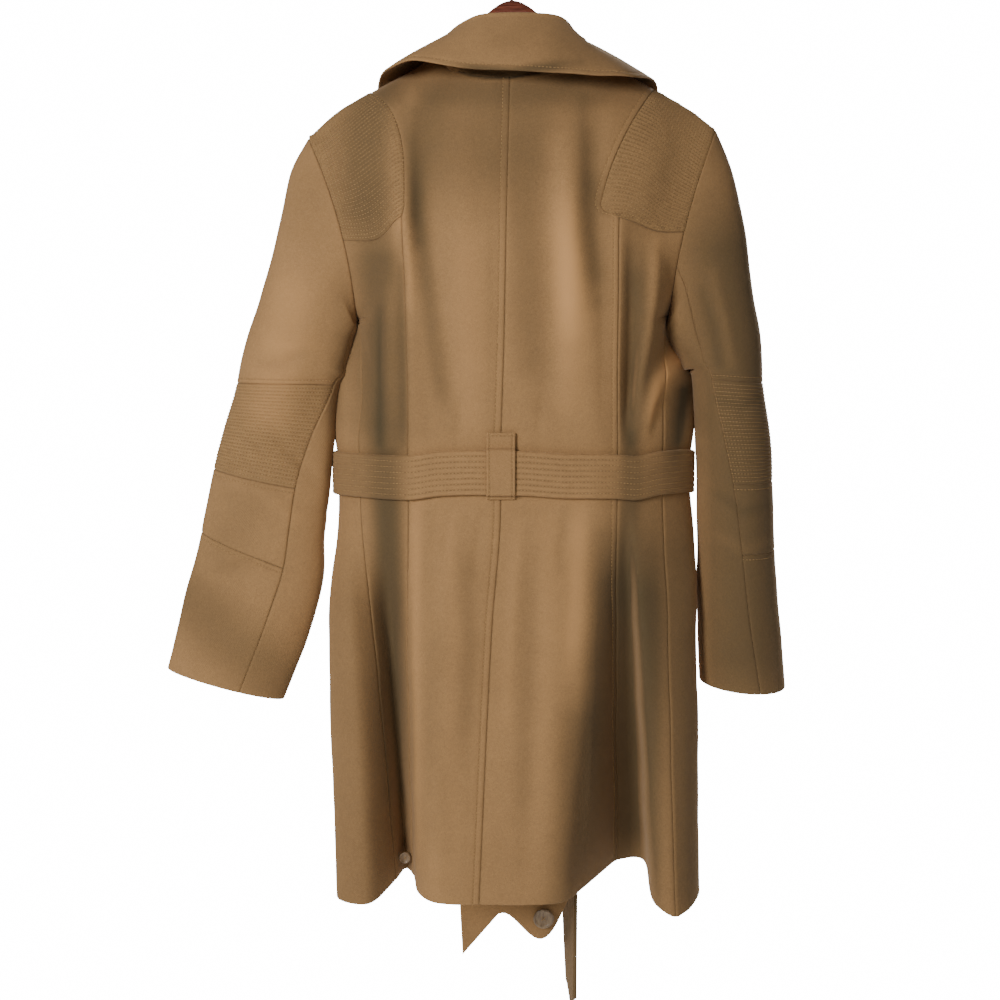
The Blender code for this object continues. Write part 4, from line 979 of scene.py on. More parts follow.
def quad_area(grid):
    ab, ad = grid[1:, :-1] - grid[:-1, :-1], grid[:-1, 1:] - grid[:-1, :-1]
    cb, cd = grid[1:, :-1] - grid[1:, 1:], grid[:-1, 1:] - grid[1:, 1:]
    return float(sum(np.linalg.norm(np.cross(p, q), axis=-1).sum() for p, q in ((ab, ad), (cb, cd))) / 2)


def painted_shading_faces(name):
    """Which faces of the painted shading table a piece takes, by its name."""
    if name.startswith("sleeve"):
        return ("sleeve", "arm")
    if name.startswith(("collar", "lapel")):
        return ("collar",)
    return BODY_FACES + ("belt",) if name.startswith("belt") else BODY_FACES


def cloth_piece(name, points, faces, material, flat, groove):
    """A piece of cloth with its map and, at every point, how deep its groove is and how much painted shade or
    painted highlight it takes.
    """
    mesh = closed_mesh(name, points, [faces], material)
    where = np.empty(len(mesh.loops), dtype=np.int32)
    mesh.loops.foreach_get("vertex_index", where)
    layer = mesh.uv_layers.new(name="cloth_map")
    layer.data.foreach_set("uv", flat[where].astype(np.float32).ravel())
    ways = np.empty(3 * len(points), dtype=np.float32)
    mesh.vertex_normals.foreach_get("vector", ways)
    # Painted shade and painted highlight for every point, kept as an attribute that the wool's colour reads.
    painted_shading = painted_shading_at(points, ways.reshape(-1, 3), painted_shading_faces(name))
    painted_shading *= BELT_PAINTED_SHADING if name.startswith("belt") else 1
    for label, values in (("groove", np.clip(groove, 0, 1)), ("painted_shading", painted_shading)):
        store = mesh.attributes.new(label, "FLOAT", "POINT")
        store.data.foreach_set("value", values.astype(np.float32))
    return dressed(name, mesh)


def tell(name):
    print(name, [round(v, 3) for v in flat_sizes[name]], len(sewn[name].data.polygons), "faces")


# %% [markdown]
# ## Quilting
# The shoulder patches and the upper elbow panels are quilted: two layers sewn together with rows a few
# millimetres apart, so that the cloth stands up between them. Real grooves catch the light better than
# bump alone, so every row is pressed into the shape, with a thread laid in it later. A slant moves the
# rows by a share of the distance across, so they can run down and outwards.


# %% Pressing the rows
def press_quilting(sheet, group, pitch, width, depth, puff, slant):
    """Presses parallel rows into a sheet along axis 1, slanted if asked, and notes their threads."""
    points = sheet[..., :3]
    v = run_length(points, 1)
    length = v[:, -1:].mean()
    share = v / v[:, -1:]
    count = max(int(round(length / pitch)), 1)
    phase = share * count + slant * run_length(points, 0) / pitch
    near = np.abs(phase - np.round(phase)) * length / count
    inside = (share * count > 0.5) & (share * count < count - 0.5)
    press = np.exp(-((near / width) ** 2)) * inside
    stands = 0.5 - 0.5 * np.cos(2 * math.pi * phase)
    sheet[..., DROP] += press * depth - puff * stands * inside
    sheet[..., GROOVE] = np.maximum(sheet[..., GROOVE], 0.8 * press)
    seat = points - sheet[..., 3:6] * (sheet[..., DROP, None] - 0.2 * MM)
    for k in range(1, int(phase.max()) + 1):
        line = []
        for i in range(2, len(points) - 2):
            j = int(np.searchsorted(phase[i], k))
            if 1 <= j < phase.shape[1] and inside[i, j]:
                t = (k - phase[i, j - 1]) / max(phase[i, j] - phase[i, j - 1], 1e-9)
                line.append(seat[i, j - 1] + t * (seat[i, j] - seat[i, j - 1]))
        if len(line) > 3:
            stitch_rows.setdefault(group + "_quilting", []).append(np.array(line))


QUILT = {"pitch": 4.2 * MM, "width": 0.9 * MM, "depth": 0.75 * MM, "puff": 0.25 * MM, "slant": 0.0}
FINER = 6  # rows of a quilted panel for each row of plain cloth
print("quilted rows", QUILT["pitch"] / MM, "mm apart")

# %% [markdown]
# ## Felted wool
# The cloth is a heavy camel melton: woven, then felted until the weave almost disappears under a short
# nap. Five things make it read as wool. Fibres of slightly different browns are mixed, the nap makes the
# surface fuzzy at a millimetre, light caught by the fibre tips brightens glancing faces, seams get painted
# shade where light doesn't reach into them, and painted shade and highlights run the colour from deep to warm.
# All but the sheen are shared with the thread and the belt, so they are one node group; the sheen is a
# property of the shader itself.

# %% Felted nap and painted shading group
NAP_INPUTS = (("Colour", "Color", (0.4, 0.25, 0.1, 1)), ("Shade", "Color", (0.1, 0.06, 0.03, 1)),
              ("Groove", "Float", 0.0), ("Painted Shading", "Float", 0.0), ("Mottle", "Float", 0.2),
              ("Twill", "Float", 0.3))
NAP_OUTPUTS = (("Colour", "Color"), ("Height", "Float"), ("Roughness", "Float"))
# Painted highlight colour: the palest, warmest brown, for lit crests.
PAINTED_HIGHLIGHT_COLOUR = (0.54, 0.285, 0.112, 1)  # the palest, warmest brown
nap_and_painted_shading = bpy.data.node_groups.new("felted_nap_and_painted_shading", "ShaderNodeTree")
for label, kind, value in NAP_INPUTS:
    nap_and_painted_shading.interface.new_socket(label, in_out="INPUT", socket_type="NodeSocket" + kind).default_value = value
for label, kind in NAP_OUTPUTS:
    nap_and_painted_shading.interface.new_socket(label, in_out="OUTPUT", socket_type="NodeSocket" + kind)
given = nap_and_painted_shading.nodes.new("NodeGroupInput").outputs
spot = own_place(nap_and_painted_shading)
broad = noise(nap_and_painted_shading, spot, 14.0, 3.0, 0.55)
cloudy = noise(nap_and_painted_shading, spot, 90.0, 3.0, 0.6)
fibre = noise(nap_and_painted_shading, spot, 1100.0, 2.0, 0.7)
fuzz = noise(nap_and_painted_shading, spot, 520.0, 4.0, 0.65)
coarse = noise(nap_and_painted_shading, spot, 330.0, 3.0, 0.6)
cloth_map = add(nap_and_painted_shading, "ShaderNodeUVMap", uv_map="cloth_map").outputs["UV"]
twill_map = add(nap_and_painted_shading, "ShaderNodeMapping", {"Vector": cloth_map, "Rotation": (0, 0, math.radians(52))})
twill = add(nap_and_painted_shading, "ShaderNodeTexWave", {"Vector": twill_map.outputs[0], "Scale": 150.0, "Distortion": 3.0,
                                       "Detail": 2.0, "Detail Scale": 2.5}).outputs["Fac"]
mottle = 0.0
for value, share in ((broad, 0.22), (cloudy, 0.16), (fibre, 0.7), (coarse, 0.35)):
    mottle = plus(nap_and_painted_shading, mottle, times(nap_and_painted_shading, mapped(nap_and_painted_shading, value, -1.0, 1.0), share))
mottle = plus(nap_and_painted_shading, times(nap_and_painted_shading, mottle, given["Mottle"]), 1.0)
grey = add(nap_and_painted_shading, "ShaderNodeCombineColor", {"Red": mottle, "Green": mottle, "Blue": mottle}).outputs[0]
mixed = blended(nap_and_painted_shading, 1.0, given["Colour"], grey, "MULTIPLY")
# Painted shade: seam grooves and painted shading above zero take the colour towards Shade; painted shading
# below zero is a painted highlight towards the warm highlight colour.
depth = times(nap_and_painted_shading, times(nap_and_painted_shading, given["Groove"], 0.5), given["Painted Shading"], "MAXIMUM")
shaded_colour = blended(nap_and_painted_shading, depth, mixed, given["Shade"])
highlighted_colour = blended(nap_and_painted_shading, mapped(nap_and_painted_shading, given["Painted Shading"], 1.0, 0.0, STRONGEST_PAINTED_HIGHLIGHT, 0.0), shaded_colour, PAINTED_HIGHLIGHT_COLOUR)
weave = plus(nap_and_painted_shading, times(nap_and_painted_shading, twill, given["Twill"]), times(nap_and_painted_shading, fibre, 0.5))
plug(nap_and_painted_shading, nap_and_painted_shading.nodes.new("NodeGroupOutput"),
     {"Colour": highlighted_colour, "Height": plus(nap_and_painted_shading, fuzz, weave), "Roughness": mapped(nap_and_painted_shading, cloudy, 0.86, 1.0)})
print("nodes in the nap:", len(nap_and_painted_shading.nodes))


# %% Wool and thread
def wool_material(name, colour, shade, mottle=0.2, bump=0.4, sheen=0.14):
    material, tree, shader = principled(name)
    groove, painted_shading = (add(tree, "ShaderNodeAttribute", attribute_name=label).outputs["Fac"]
                    for label in ("groove", "painted_shading"))
    links = {"Colour": (*colour, 1), "Shade": (*shade, 1), "Mottle": mottle, "Groove": groove, "Painted Shading": painted_shading}
    cloth = add(tree, "ShaderNodeGroup", links, node_tree=nap_and_painted_shading).outputs
    links = {"Height": cloth["Height"], "Strength": bump, "Distance": 0.6 * MM}
    normal = add(tree, "ShaderNodeBump", links).outputs[0]
    plug(tree, shader, {"Base Color": cloth["Colour"], "Roughness": cloth["Roughness"], "Normal": normal,
                        "Sheen Weight": sheen, "Sheen Roughness": 0.45, "Sheen Tint": (1.0, 0.82, 0.6, 1),
                        "Specular IOR Level": 0.2})
    return material


# The second colour of each wool is the painted shade colour of its seams and folds.
wool = wool_material("camel_wool", (0.325, 0.182, 0.076), (0.07, 0.05, 0.024))
quilted = wool_material("quilted_wool", (0.3, 0.172, 0.072), (0.08, 0.055, 0.026), mottle=0.26)
thread = wool_material("silk_thread", (0.37, 0.222, 0.092), (0.18, 0.11, 0.048), 0.3, bump=0.1, sheen=0.1)
print("wool materials:", wool.name, quilted.name, thread.name)

# %% [markdown]
# ## The back
# The back is cut in two halves, joined by a topstitched seam down the middle. A side back and a quilted
# shoulder patch are sewn on each side of it. Every panel takes its share of the same folded surface, so
# neighbours meet exactly. The centre seam is topstitched on the wearer's left only, and the princess seam
# on the wearer's right has a row too.

# %% Back panels
back, at = made["back"]
BACK_PANELS = (
    # name, from line, to line, up to row, edges
    ("back_left", "princess_left", "centre_back", TOP_ROW, {"last": ("seam", (7.5,))}),
    ("back_right", "centre_back", "princess_right", TOP_ROW, {"last": ("seam", (6.5,))}),
    ("side_back_left", "side_left", "princess_left", FOOT_ROW, {}),
    ("side_back_right", "princess_right", "side_right", FOOT_ROW, {}),
)
for name, start, stop, high, edges in BACK_PANELS:
    part = np.s_[at[start] : at[stop] + 1, : high + 1]
    panel(name, back[part], back_normals[part], wool, {"low": TURNED, **edges}, "body")
    tell(name)

# %% Quilted shoulder patches
for name, start, stop, slant in (("shoulder_patch_left", "side_left", "princess_left", 0.0),
                                 ("shoulder_patch_right", "princess_right", "side_right", 0.2)):
    part = np.s_[at[start] : at[stop] + 1, FOOT_ROW:]
    grid, normals = more_rows(back[part], FINER), unit(more_rows(back_normals[part], FINER))
    panel(name, grid, normals, quilted, {}, "patches", {**QUILT, "slant": slant})
    tell(name)

# %% [markdown]
# ## The fronts
# Each front is one piece from the side seam to its edge. The right one laps over the left and is drawn
# down to a long, swinging corner below the back hem. The edges are turned and topstitched.

# %% Fronts
for side, name in ((1, "front_left"), (-1, "front_right")):
    edges = {"last": ("free", (7,)), "low": TURNED}
    panel(name, made[side][0], front_normals[side], wool, edges, "body")
    tell(name)

# %% [markdown]
# ## Two-piece sleeves
# A tailored sleeve has an upper half and an under half. Here the upper half is cut across three times,
# and its first elbow panel is quilted. The sleeve's section turns as it goes down, because the arm hangs
# forward from the shoulder. The sections come from the table above and share the armhole's points with
# the body, so the shoulder seam closes.


# %% Sleeve surface
def sleeve_grid(side):
    """Points round and down one sleeve, the angles at its top, the column of its back seam, section rows."""
    angles = armhole_angles(side)
    ring = sorted(set(round(a, 4) for a in angles + [-a for a in angles[-2::-1]] if a > -179.99))
    count = len(ring)
    seams = SLEEVES[side][0][8], SLEEVES[side][0][9] - 360
    back_at, front_at = (min(range(count), key=lambda i: abs(ring[i] - seam)) for seam in seams)
    order = [(front_at + k) % count for k in range(count)] + [front_at]
    turned = [ring[i] + (360 if k + front_at >= count else 0) for k, i in enumerate(order)]
    seam = (back_at - front_at) % count
    first, middle, last = turned[0], turned[seam], turned[0] + 360
    places = [0.0]
    for k, rows in enumerate(SECTION_ROWS):
        places += [k + (j + 1) / rows for j in range(rows)]
    grid = []
    for place in places:
        *_, back_seam, front_seam = sleeve_section(side, place)
        front_seam -= 360
        if place == 0:
            back_seam, front_seam = middle, first
        there = []
        for k, a in enumerate(turned):
            if k <= seam:
                there.append(front_seam + (a - first) / (middle - first) * (back_seam - front_seam))
            else:
                there.append(back_seam + (a - middle) / (last - middle) * (front_seam + 360 - back_seam))
        grid.append([sleeve_point(side, place, a) for a in there])
    row_of = {row[0]: sum(SECTION_ROWS[:k]) for k, row in enumerate(SLEEVES[side])}
    return np.array(grid).transpose(1, 0, 2), turned, seam, row_of


def sleeve_normals(side, grid, turned, seam):
    """Outward normals that run on across the seam where the sleeve's grid begins."""
    around = np.concatenate([grid[-2:-1], grid, grid[1:2]])
    normals = normals_of(around)[1:-1] * side
    normals[0] = normals[-1] = unit(normals[0] + normals[-1])
    normals = facing(normals, seam, -1)
    for k, a in enumerate(turned):
        normals[k, 0] = armhole_normal(side, a)
    return normals


# %% Sleeves
STITCHED = ("seam", (5.5,))
SLEEVE_PANELS = (
    # panel, the section it ends at, edges
    ("upper", "seam_1", {"high": STITCHED}),
    ("elbow_quilted", "seam_2", {}),
    ("elbow_plain", "seam_3", {"low": STITCHED}),
    ("forearm", "cuff", {"low": STITCHED, "high": TURNED}),
)
for side, word in ((1, "left"), (-1, "right")):
    grid, turned, seam, row_of = sleeve_grid(side)
    normals = sleeve_normals(side, grid, turned, seam)
    rise = fold_rise(grid, normals, ("sleeve", "arm")) * np.clip(np.arange(grid.shape[1]) / 8, 0, 1)
    rise[-1] = rise[0]
    grid = grid + rise[..., None] * normals
    normals = sleeve_normals(side, grid, turned, seam)
    low, group = 0, f"sleeve_{word}"
    for part_name, end, edges in SLEEVE_PANELS:
        name = f"{group}_{part_name}"
        part = np.s_[: seam + 1, low : row_of[end] + 1]
        cloth, out, material, quilt = grid[part], normals[part], wool, None
        if part_name == "elbow_quilted":
            cloth, out, material, quilt = more_rows(cloth, FINER), unit(more_rows(out, FINER)), quilted, QUILT
        panel(name, cloth, out, material, edges, group, quilt)
        tell(name)
        low = row_of[end]
    name = f"{group}_under"
    panel(name, grid[seam:], normals[seam:], wool, {"high": TURNED}, group)
    tell(name)

# %% [markdown]
# ## Collar and lapels
# The collar stands up from the neck seam, rolls over and falls well past the seam at the back. The same
# strip runs on down both front edges as lapels. Its shape is a table again: at each place along the seam
# it says where the fold is and where the free edge lies.

# %% Table of the collar
COLLAR = {
    1: (
        # place, fold,           edge
        (0.0,    (0, -18, 70),   (0, 48, -69)),
        (0.25,   (-1, -17, 69),  (16, 51, -68)),
        (0.5,    (-3, -16, 55),  (32, 53, -53)),
        (0.8,    (-1, -12, 34),  (49, 52, -37)),
        (1.0,    (2, -8, 22),    (60, 36, -41)),
        (1.2,    (6, -9, 15),    (68, 18, -32)),
        (1.5,    (8, -12, 9),    (82, -4, -14)),
        (1.75,   (-2, -10, 6),   (100, -7, 10)),
        (2.0,    (-6, -8, 2),    (116, -12, 22)),
        (2.3,    (-8, -6, 0),    (100, -12, 20)),
        (2.75,   (-8, -6, 0),    (62, -9, 10)),
        (3.0,    (-6, -5, 0),    (30, -8, 4)),
    ),
    -1: (
        (0.0,    (0, -18, 70),   (0, 48, -69)),
        (0.25,   (0, -17, 66),   (16, 51, -72)),
        (0.5,    (-1, -16, 56),  (31, 53, -72)),
        (0.8,    (-2, -12, 29),  (55, 56, -53)),
        (1.0,    (0, -8, 20),    (70, 43, -52)),
        (1.2,    (6, -9, 15),    (84, 20, -40)),
        (1.5,    (8, -12, 9),    (92, -4, -23)),
        (1.75,   (-2, -10, 6),   (104, -7, 2)),
        (2.0,    (-6, -8, 2),    (118, -10, 16)),
        (2.3,    (-8, -6, 0),    (106, -10, 18)),
        (3.0,    (-8, -6, 0),    (80, -8, 12)),
        (3.8,    (-8, -6, 0),    (16, -8, 6)),
    ),
}
ROLL, ROLL_ANGLE = 6 * MM, 15  # radius of the turned cloth at the fold, and degrees from point to point
STAND_POINTS, FALL_POINTS, FALL_SWELL = 8, 25, 16 * MM
SEAM_UNDER, SEAM_DEEP = 3.5 * MM, 0.4 * MM  # how far the stand's foot goes past the neck seam
EASED_TIMES = 5
LAPEL_TOP = 1.75
LAPEL_END = {1: 3.0, -1: 4.0}
collar_rows = [(-row[0], -row[1][0], *row[1][1:], -row[2][0], *row[2][1:]) for row in COLLAR[-1][:0:-1]]
collar_rows = np.array(collar_rows + [(row[0], *row[1], *row[2]) for row in COLLAR[1]], float)
print("places measured round the collar:", len(collar_rows))


# %% Collar surface
def collar_section(place, seam, seam_normal):
    """Points from the seam up the stand, round the fold and down to the edge."""
    measured = smooth(collar_rows[:, 0], collar_rows[:, 1:], [place])[0] * MM
    fold, edge = measured[:3], measured[3:]
    start = seam - CLOTH * seam_normal
    apex = seam + fold
    up = unit(apex - start)
    out = unit(edge - np.dot(edge, up) * up)
    start = start - SEAM_UNDER * up - SEAM_DEEP * seam_normal
    centre = apex - ROLL * up
    foot, leave, tip = centre - ROLL * out, centre + ROLL * out, apex + edge
    points = [start + (foot - start) * k / STAND_POINTS for k in range(STAND_POINTS)]
    for angle in range(180, 0, -ROLL_ANGLE):
        a = math.radians(angle)
        points.append(centre + ROLL * (math.cos(a) * out + math.sin(a) * up))
    for k in range(FALL_POINTS):
        t = k / (FALL_POINTS - 1)
        points.append(leave + (tip - leave) * t + FALL_SWELL * t * (1 - t) * out)
    return points


def neck_run(side, word):
    """Places round the neck from the centre back to the neck point, and down the front edge."""
    front, normals = made[side][0][-1], front_normals[side][-1]
    down = []
    for j in range(TOP_ROW, BELT_ROW, -2):
        if j >= FOOT_ROW:
            place = 1 + (TOP_ROW - j) / YOKE_ROWS
        elif j >= UNDERARM:
            place = 2 + (FOOT_ROW - j) / ARM_ROWS
        else:
            place = 3 + (UNDERARM - j) / WAIST_ROWS
        if place <= LAPEL_END[side] + TOUCH:
            down.append((side * place, front[j], normals[j]))
    first, last = at["centre_back"], at[f"back_{word}"]
    count, way = abs(last - first), 1 if last > first else -1
    neck = [(side * k / count, back[first + way * k, TOP_ROW], back_normals[first + way * k, TOP_ROW])
            for k in range(count)]
    return neck, down


left_neck, left_front = neck_run(1, "left")
right_neck, right_front = neck_run(-1, "right")
run = right_front[::-1] + right_neck[::-1] + left_neck[1:] + left_front
collar_grid = np.array([collar_section(*station) for station in run])
for _ in range(EASED_TIMES):
    eased = (collar_grid[:-2] + 2 * collar_grid[1:-1] + collar_grid[2:]) / 4
    collar_grid[1:-1, 2:] = eased[:, 2:]
collar_normals = facing(normals_of(collar_grid), len(right_front), -1)
for i, (_, _, seam_normal) in enumerate(run):
    collar_normals[i, 0] = -seam_normal
print("collar grid:", collar_grid.shape[:2])

# %% Collar and lapel pieces
first = min(i for i, s in enumerate(run) if s[0] > -LAPEL_TOP) - 1
last = max(i for i, s in enumerate(run) if s[0] < LAPEL_TOP) + 1
COLLAR_PIECES = (
    ("lapel_right", 0, first, {"first": TURNED}),
    ("collar", first, last, {}),
    ("lapel_left", last, len(run) - 1, {"last": TURNED}),
)
for name, low, high, edges in COLLAR_PIECES:
    part = np.s_[low : high + 1]
    edges = {"high": ("free", (6,)), **edges}
    panel(name, collar_grid[part], collar_normals[part], wool, edges, "collar")
    tell(name)

# %% [markdown]
# ## The belt
# The belt is a doubled band of the same wool, stiffened by seven rows of stitching along its length. It
# lies round the cloth at the waist, goes through a sewn loop at the centre back and is tied in front.
# Its ring is worked out from the body's own points, moved out, so it can't cut into a fold.

# %% Ring of the belt
BELT_WIDTH, BELT_THICK, BELT_OFF, BELT_ROWS_SEWN = 50 * MM, 5 * MM, 2.5 * MM, 7
BELT_MIDDLE = (BELT_TOP + BELT_FOOT) / 2
RING_STEPS = 14  # places from one line of the body to the next


def out_of(ring, turn):
    """Level directions across a ring's own run."""
    along = np.roll(ring, -1, axis=0) - np.roll(ring, 1, axis=0)
    return turn * unit(np.stack([-along[:, 1], along[:, 0], 0 * along[:, 0]], axis=1))


plain = body_cloth()
back_plain = plain["back"][0]
(left, left_at), (right, right_at) = plain[1], plain[-1]
keep = [back_plain[i, BELT_ROW] for i in range(0, len(back_plain), STEPS)]
keep += [right[right_at[line], BELT_ROW]
         for line in ("outer", "front_side", "front", "fold", "scoop", "corner")]
keep.append(right[right_at["front_edge"], BELT_ROW] + np.array([6 * MM, 0, 0]))
keep += [left[left_at[line], BELT_ROW] for line in ("front_side", "outer", "bulge")]
ring = np.array(keep) * [1, 1, 0]
turn = 1 if out_of(ring, 1)[len(back_plain) // (4 * STEPS), 1] >= 0 else -1
ring = ring + BELT_OFF * out_of(ring, turn)
closed = np.concatenate([ring, ring[:1]])[:, None, :]
ring = through(closed, RING_STEPS, ring[-1][None], ring[1][None])[:-1, 0]
ring_out = out_of(ring, turn)
around = float(np.linalg.norm(np.diff(ring, axis=0, append=ring[:1]), axis=1).sum())
print("belt ring, metres round:", round(around, 3))

# %% Section of the band
ROW_PRESS, ROW_HALF, EDGE_ROUND = 0.75 * MM, 0.8 * MM, 2.2 * MM


def band_section():
    """Places across a doubled band (across, out of the face, groove), once round, with pressed rows."""
    half, gaps = BELT_WIDTH / 2, BELT_ROWS_SEWN + 1
    outer, inner = [], []
    for w in np.linspace(-half, half, 6 * gaps + 1):
        soft = 0.42 * BELT_THICK * max(0.0, 1 - (half - abs(w)) / EDGE_ROUND) ** 2
        phase = (w + half) / BELT_WIDTH * gaps
        near = abs(phase - round(phase)) * BELT_WIDTH / gaps
        press = math.exp(-((near / ROW_HALF) ** 2)) if 0.5 < phase < gaps - 0.5 else 0.0
        outer.append((w, BELT_THICK - soft - ROW_PRESS * press, press))
        inner.append((w, soft + 0.4 * MM * press, 0.6 * press))
    return np.array(outer + inner[::-1]).T


def band(name, middles, ways, outs, closed=False, tip=None):
    """A doubled band along a run of places, each with its width direction and its outward one."""
    w, t, groove = band_section()
    loops = middles[:, None] + w[:, None] * ways[:, None] + t[:, None] * outs[:, None]
    if tip is not None:
        loops[..., 2] += tip[:, None] * np.abs(w) / (BELT_WIDTH / 2)
    count, across = loops.shape[:2]
    index = np.arange(count * across).reshape(count, across)
    rings = np.concatenate([index, index[:1]]) if closed else index
    turned = np.roll(rings, -1, axis=1)
    faces = [np.stack([rings[:-1], rings[1:], turned[1:], turned[:-1]], axis=-1).reshape(-1, 4)]
    if not closed:
        faces += [cap(index[0]), cap(index[-1])[:, ::-1]]
    flat = np.stack(np.meshgrid(w, run_length(loops[:, 0], 0)), axis=-1).reshape(-1, 2)
    length = around if closed else float(run_length(loops.mean(axis=1), 0)[-1])
    flat_sizes[name] = (BELT_WIDTH, length, BELT_WIDTH * length)
    for i in np.flatnonzero(groove[: across // 2] > 0.95):
        line = loops[:, i] + THREAD_SUNK * outs
        stitch_rows.setdefault("belt", []).append(np.concatenate([line, line[:1]]) if closed else line)
    cloth_piece(name, loops.reshape(-1, 3), np.concatenate(faces), wool, flat, np.tile(groove, count))
    tell(name)


# %% Belt band
BELT_LIFT = ((-209, 4), (-168, 5), (-136, 1), (-68, 3), (-5, 8), (33, 8),  # x, how far the belt rides up
             (80, 6), (116, 1), (156, 0), (187, 0))
lifts = np.array(BELT_LIFT, float)
lift = smooth(lifts[:, 0], lifts[:, 1], ring[:, 0] / MM)[:, 0] * MM
sway = np.linspace(0, 2 * math.pi, len(ring), endpoint=False)
front_sway = 0.8 * MM * np.sin(3 * sway + 0.6) + 0.6 * MM * np.sin(5 * sway + 2.0)
tilt = np.where(ring[:, 1] > 0, lift, 0) * np.clip(ring[:, 1] / 0.03, 0, 1) + front_sway
middles = ring + np.stack([0 * tilt, 0 * tilt, BELT_MIDDLE + tilt], axis=1)
band("belt_band", middles, np.tile([0.0, 0.0, 1.0], (len(ring), 1)), ring_out, closed=True)

# %% Hanging ends of the belt
TAILS = {
    "belt_tail_long": (
        # x,   y,    z,    turn
        (-70, -84,  -618,  -18),
        (-72, -85,  -700,  -24),
        (-74, -88,  -840,  -36),
        (-76, -92,  -980,  -56),
        (-77, -94, -1080,  -70),
        (-78, -92, -1180,  -74),
        (-80, -90, -1270,  -80),
        (-81, -90, -1300,  -82),
    ),
    "belt_tail_short": (
        (-54, -67,  -618,  4),
        (-40, -67,  -690,  6),
        (-32, -70,  -800,  6),
        (-30, -72,  -880,  6),
    ),
}
TIP = 18  # length of the pointed end
for name, table in TAILS.items():
    rows = np.array(table, float)
    drop = rows[0, 2] - rows[:, 2]
    places = np.linspace(0, drop[-1], int(drop[-1] / 5))
    found = smooth(drop, rows, places)
    turn = np.radians(found[:, 3])
    ways = np.stack([np.cos(turn), np.sin(turn), 0 * turn], axis=1)
    outs = np.stack([np.sin(turn), -np.cos(turn), 0 * turn], axis=1)
    middles = found[:, :3] * MM - outs * BELT_THICK / 2
    band(name, middles, ways, outs, tip=TIP * MM * np.clip((places - drop[-1] + TIP) / TIP, 0, 1))

# %% Belt loop at the back
LOOP_WIDTH, LOOP_LOW, LOOP_HIGH, LOOP_UP = 32 * MM, 6 * MM, 19 * MM, 8 * MM
nearest = min(range(len(ring)), key=lambda i: abs(ring[i, 0] - 0.012) + (ring[i, 1] < 0))
place, out_way = ring[nearest], ring_out[nearest]
side_way = np.array([out_way[1], -out_way[0], 0.0])
proud = BELT_THICK + 0.6 * MM
low, high = (BELT_MIDDLE + way * BELT_WIDTH / 2 + LOOP_UP for way in (-1, 1))
LOOP_PATH = (
    # height, distance from the belt's inner face
    (low - LOOP_LOW, 0.8 * MM - BELT_OFF),
    (low - 2 * MM, 1.4 * MM - BELT_OFF),
    (low - 0.6 * MM, proud),
    (high + 0.6 * MM, proud),
    (high + 2.5 * MM, 2.0 * MM - BELT_OFF),
    (high + LOOP_HIGH, 2.8 * MM - BELT_OFF),
)
path = np.array([(d + CLOTH, z) for z, d in LOOP_PATH])
line = [path[0]]
for a, b in zip(path, path[1:]):
    steps = max(int(np.linalg.norm(b - a) / (1.2 * MM)), 1)
    line += [a + (b - a) * k / steps for k in range(1, steps + 1)]
line = np.array(line)
for _ in range(3):
    line[1:-1] = (line[:-2] + 2 * line[1:-1] + line[2:]) / 4
line[:, 0] += 0.7 * MM * np.sin(np.pi * np.linspace(0, 1, len(line)))
grid = np.array([[place + x * side_way + d * out_way + np.array([0, 0, z]) for d, z in line]
                 for x in np.linspace(-LOOP_WIDTH / 2, LOOP_WIDTH / 2, 17)])
normals = facing(normals_of(grid), 8, len(line) // 2)
panel("belt_loop_back", grid, normals, wool, {end: ("free", (3.5,)) for end in PLAIN}, "belt")
tell("belt_loop_back")

# %% [markdown]
# ## The knot
# The two ends cross once and pull tight, so the knot is a short roll of cloth with creases running into
# it from both sides. It is one closed form here: a rounded pad whose surface is pressed by a few curved
# creases, deepest where the band wraps round itself.

# %% Knot
KNOT = {"x": -64 * MM, "width": 44 * MM, "height": 58 * MM, "depth": 22 * MM}
KNOT_CREASES = ((-14, 22, -6, -20), (-5, 26, 2, -24), (5, 24, 11, -22), (14, 20, 17, -14))  # x, z to x, z
CREASE_DEEP, CREASE_HALF = 2.6, 2.2  # millimetres
KNOT_POINTS, KNOT_CORNER, KNOT_SPREAD = 72, 0.6, 0.14
KNOT_LAYERS = (  # share of the depth, share of the width
    (0.0, 0.80), (0.06, 0.92), (0.16, 0.99), (0.34, 1.0), (0.55, 0.98), (0.72, 0.92), (0.84, 0.82),
    (0.92, 0.68), (0.97, 0.5), (0.995, 0.3), (1.0, 0.1))
near_knot = min((p for p in ring if p[1] < 0), key=lambda p: abs(p[0] - KNOT["x"]))
back_face = near_knot[1] - BELT_THICK - 0.5 * MM
loops = []
for share, width_share in KNOT_LAYERS:
    loop = []
    for k in range(KNOT_POINTS):
        a = 2 * math.pi * k / KNOT_POINTS
        wider = 1 + KNOT_SPREAD * math.sin(a)
        x = powered(math.cos(a), KNOT_CORNER) * KNOT["width"] / 2 * width_share * wider
        z = powered(math.sin(a), KNOT_CORNER) * KNOT["height"] / 2 * width_share
        press = 0.0
        for x0, z0, x1, z1 in KNOT_CREASES:
            distance, _ = distance_to_path(np.array(x / MM), np.array(z / MM), ((x0, z0), (x1, z1)))
            press = max(press, CREASE_DEEP * math.exp(-((float(distance) / CREASE_HALF) ** 2)))
        y = back_face - KNOT["depth"] * share + press * MM * share
        loop.append((KNOT["x"] + x, y, BELT_MIDDLE + z))
    loops.append(loop)
loops = np.array(loops)
index = np.arange(loops[..., 0].size).reshape(loops.shape[:2])
faces = np.concatenate([ring_faces(index), cap(index[0])[:, ::-1], cap(index[-1])])
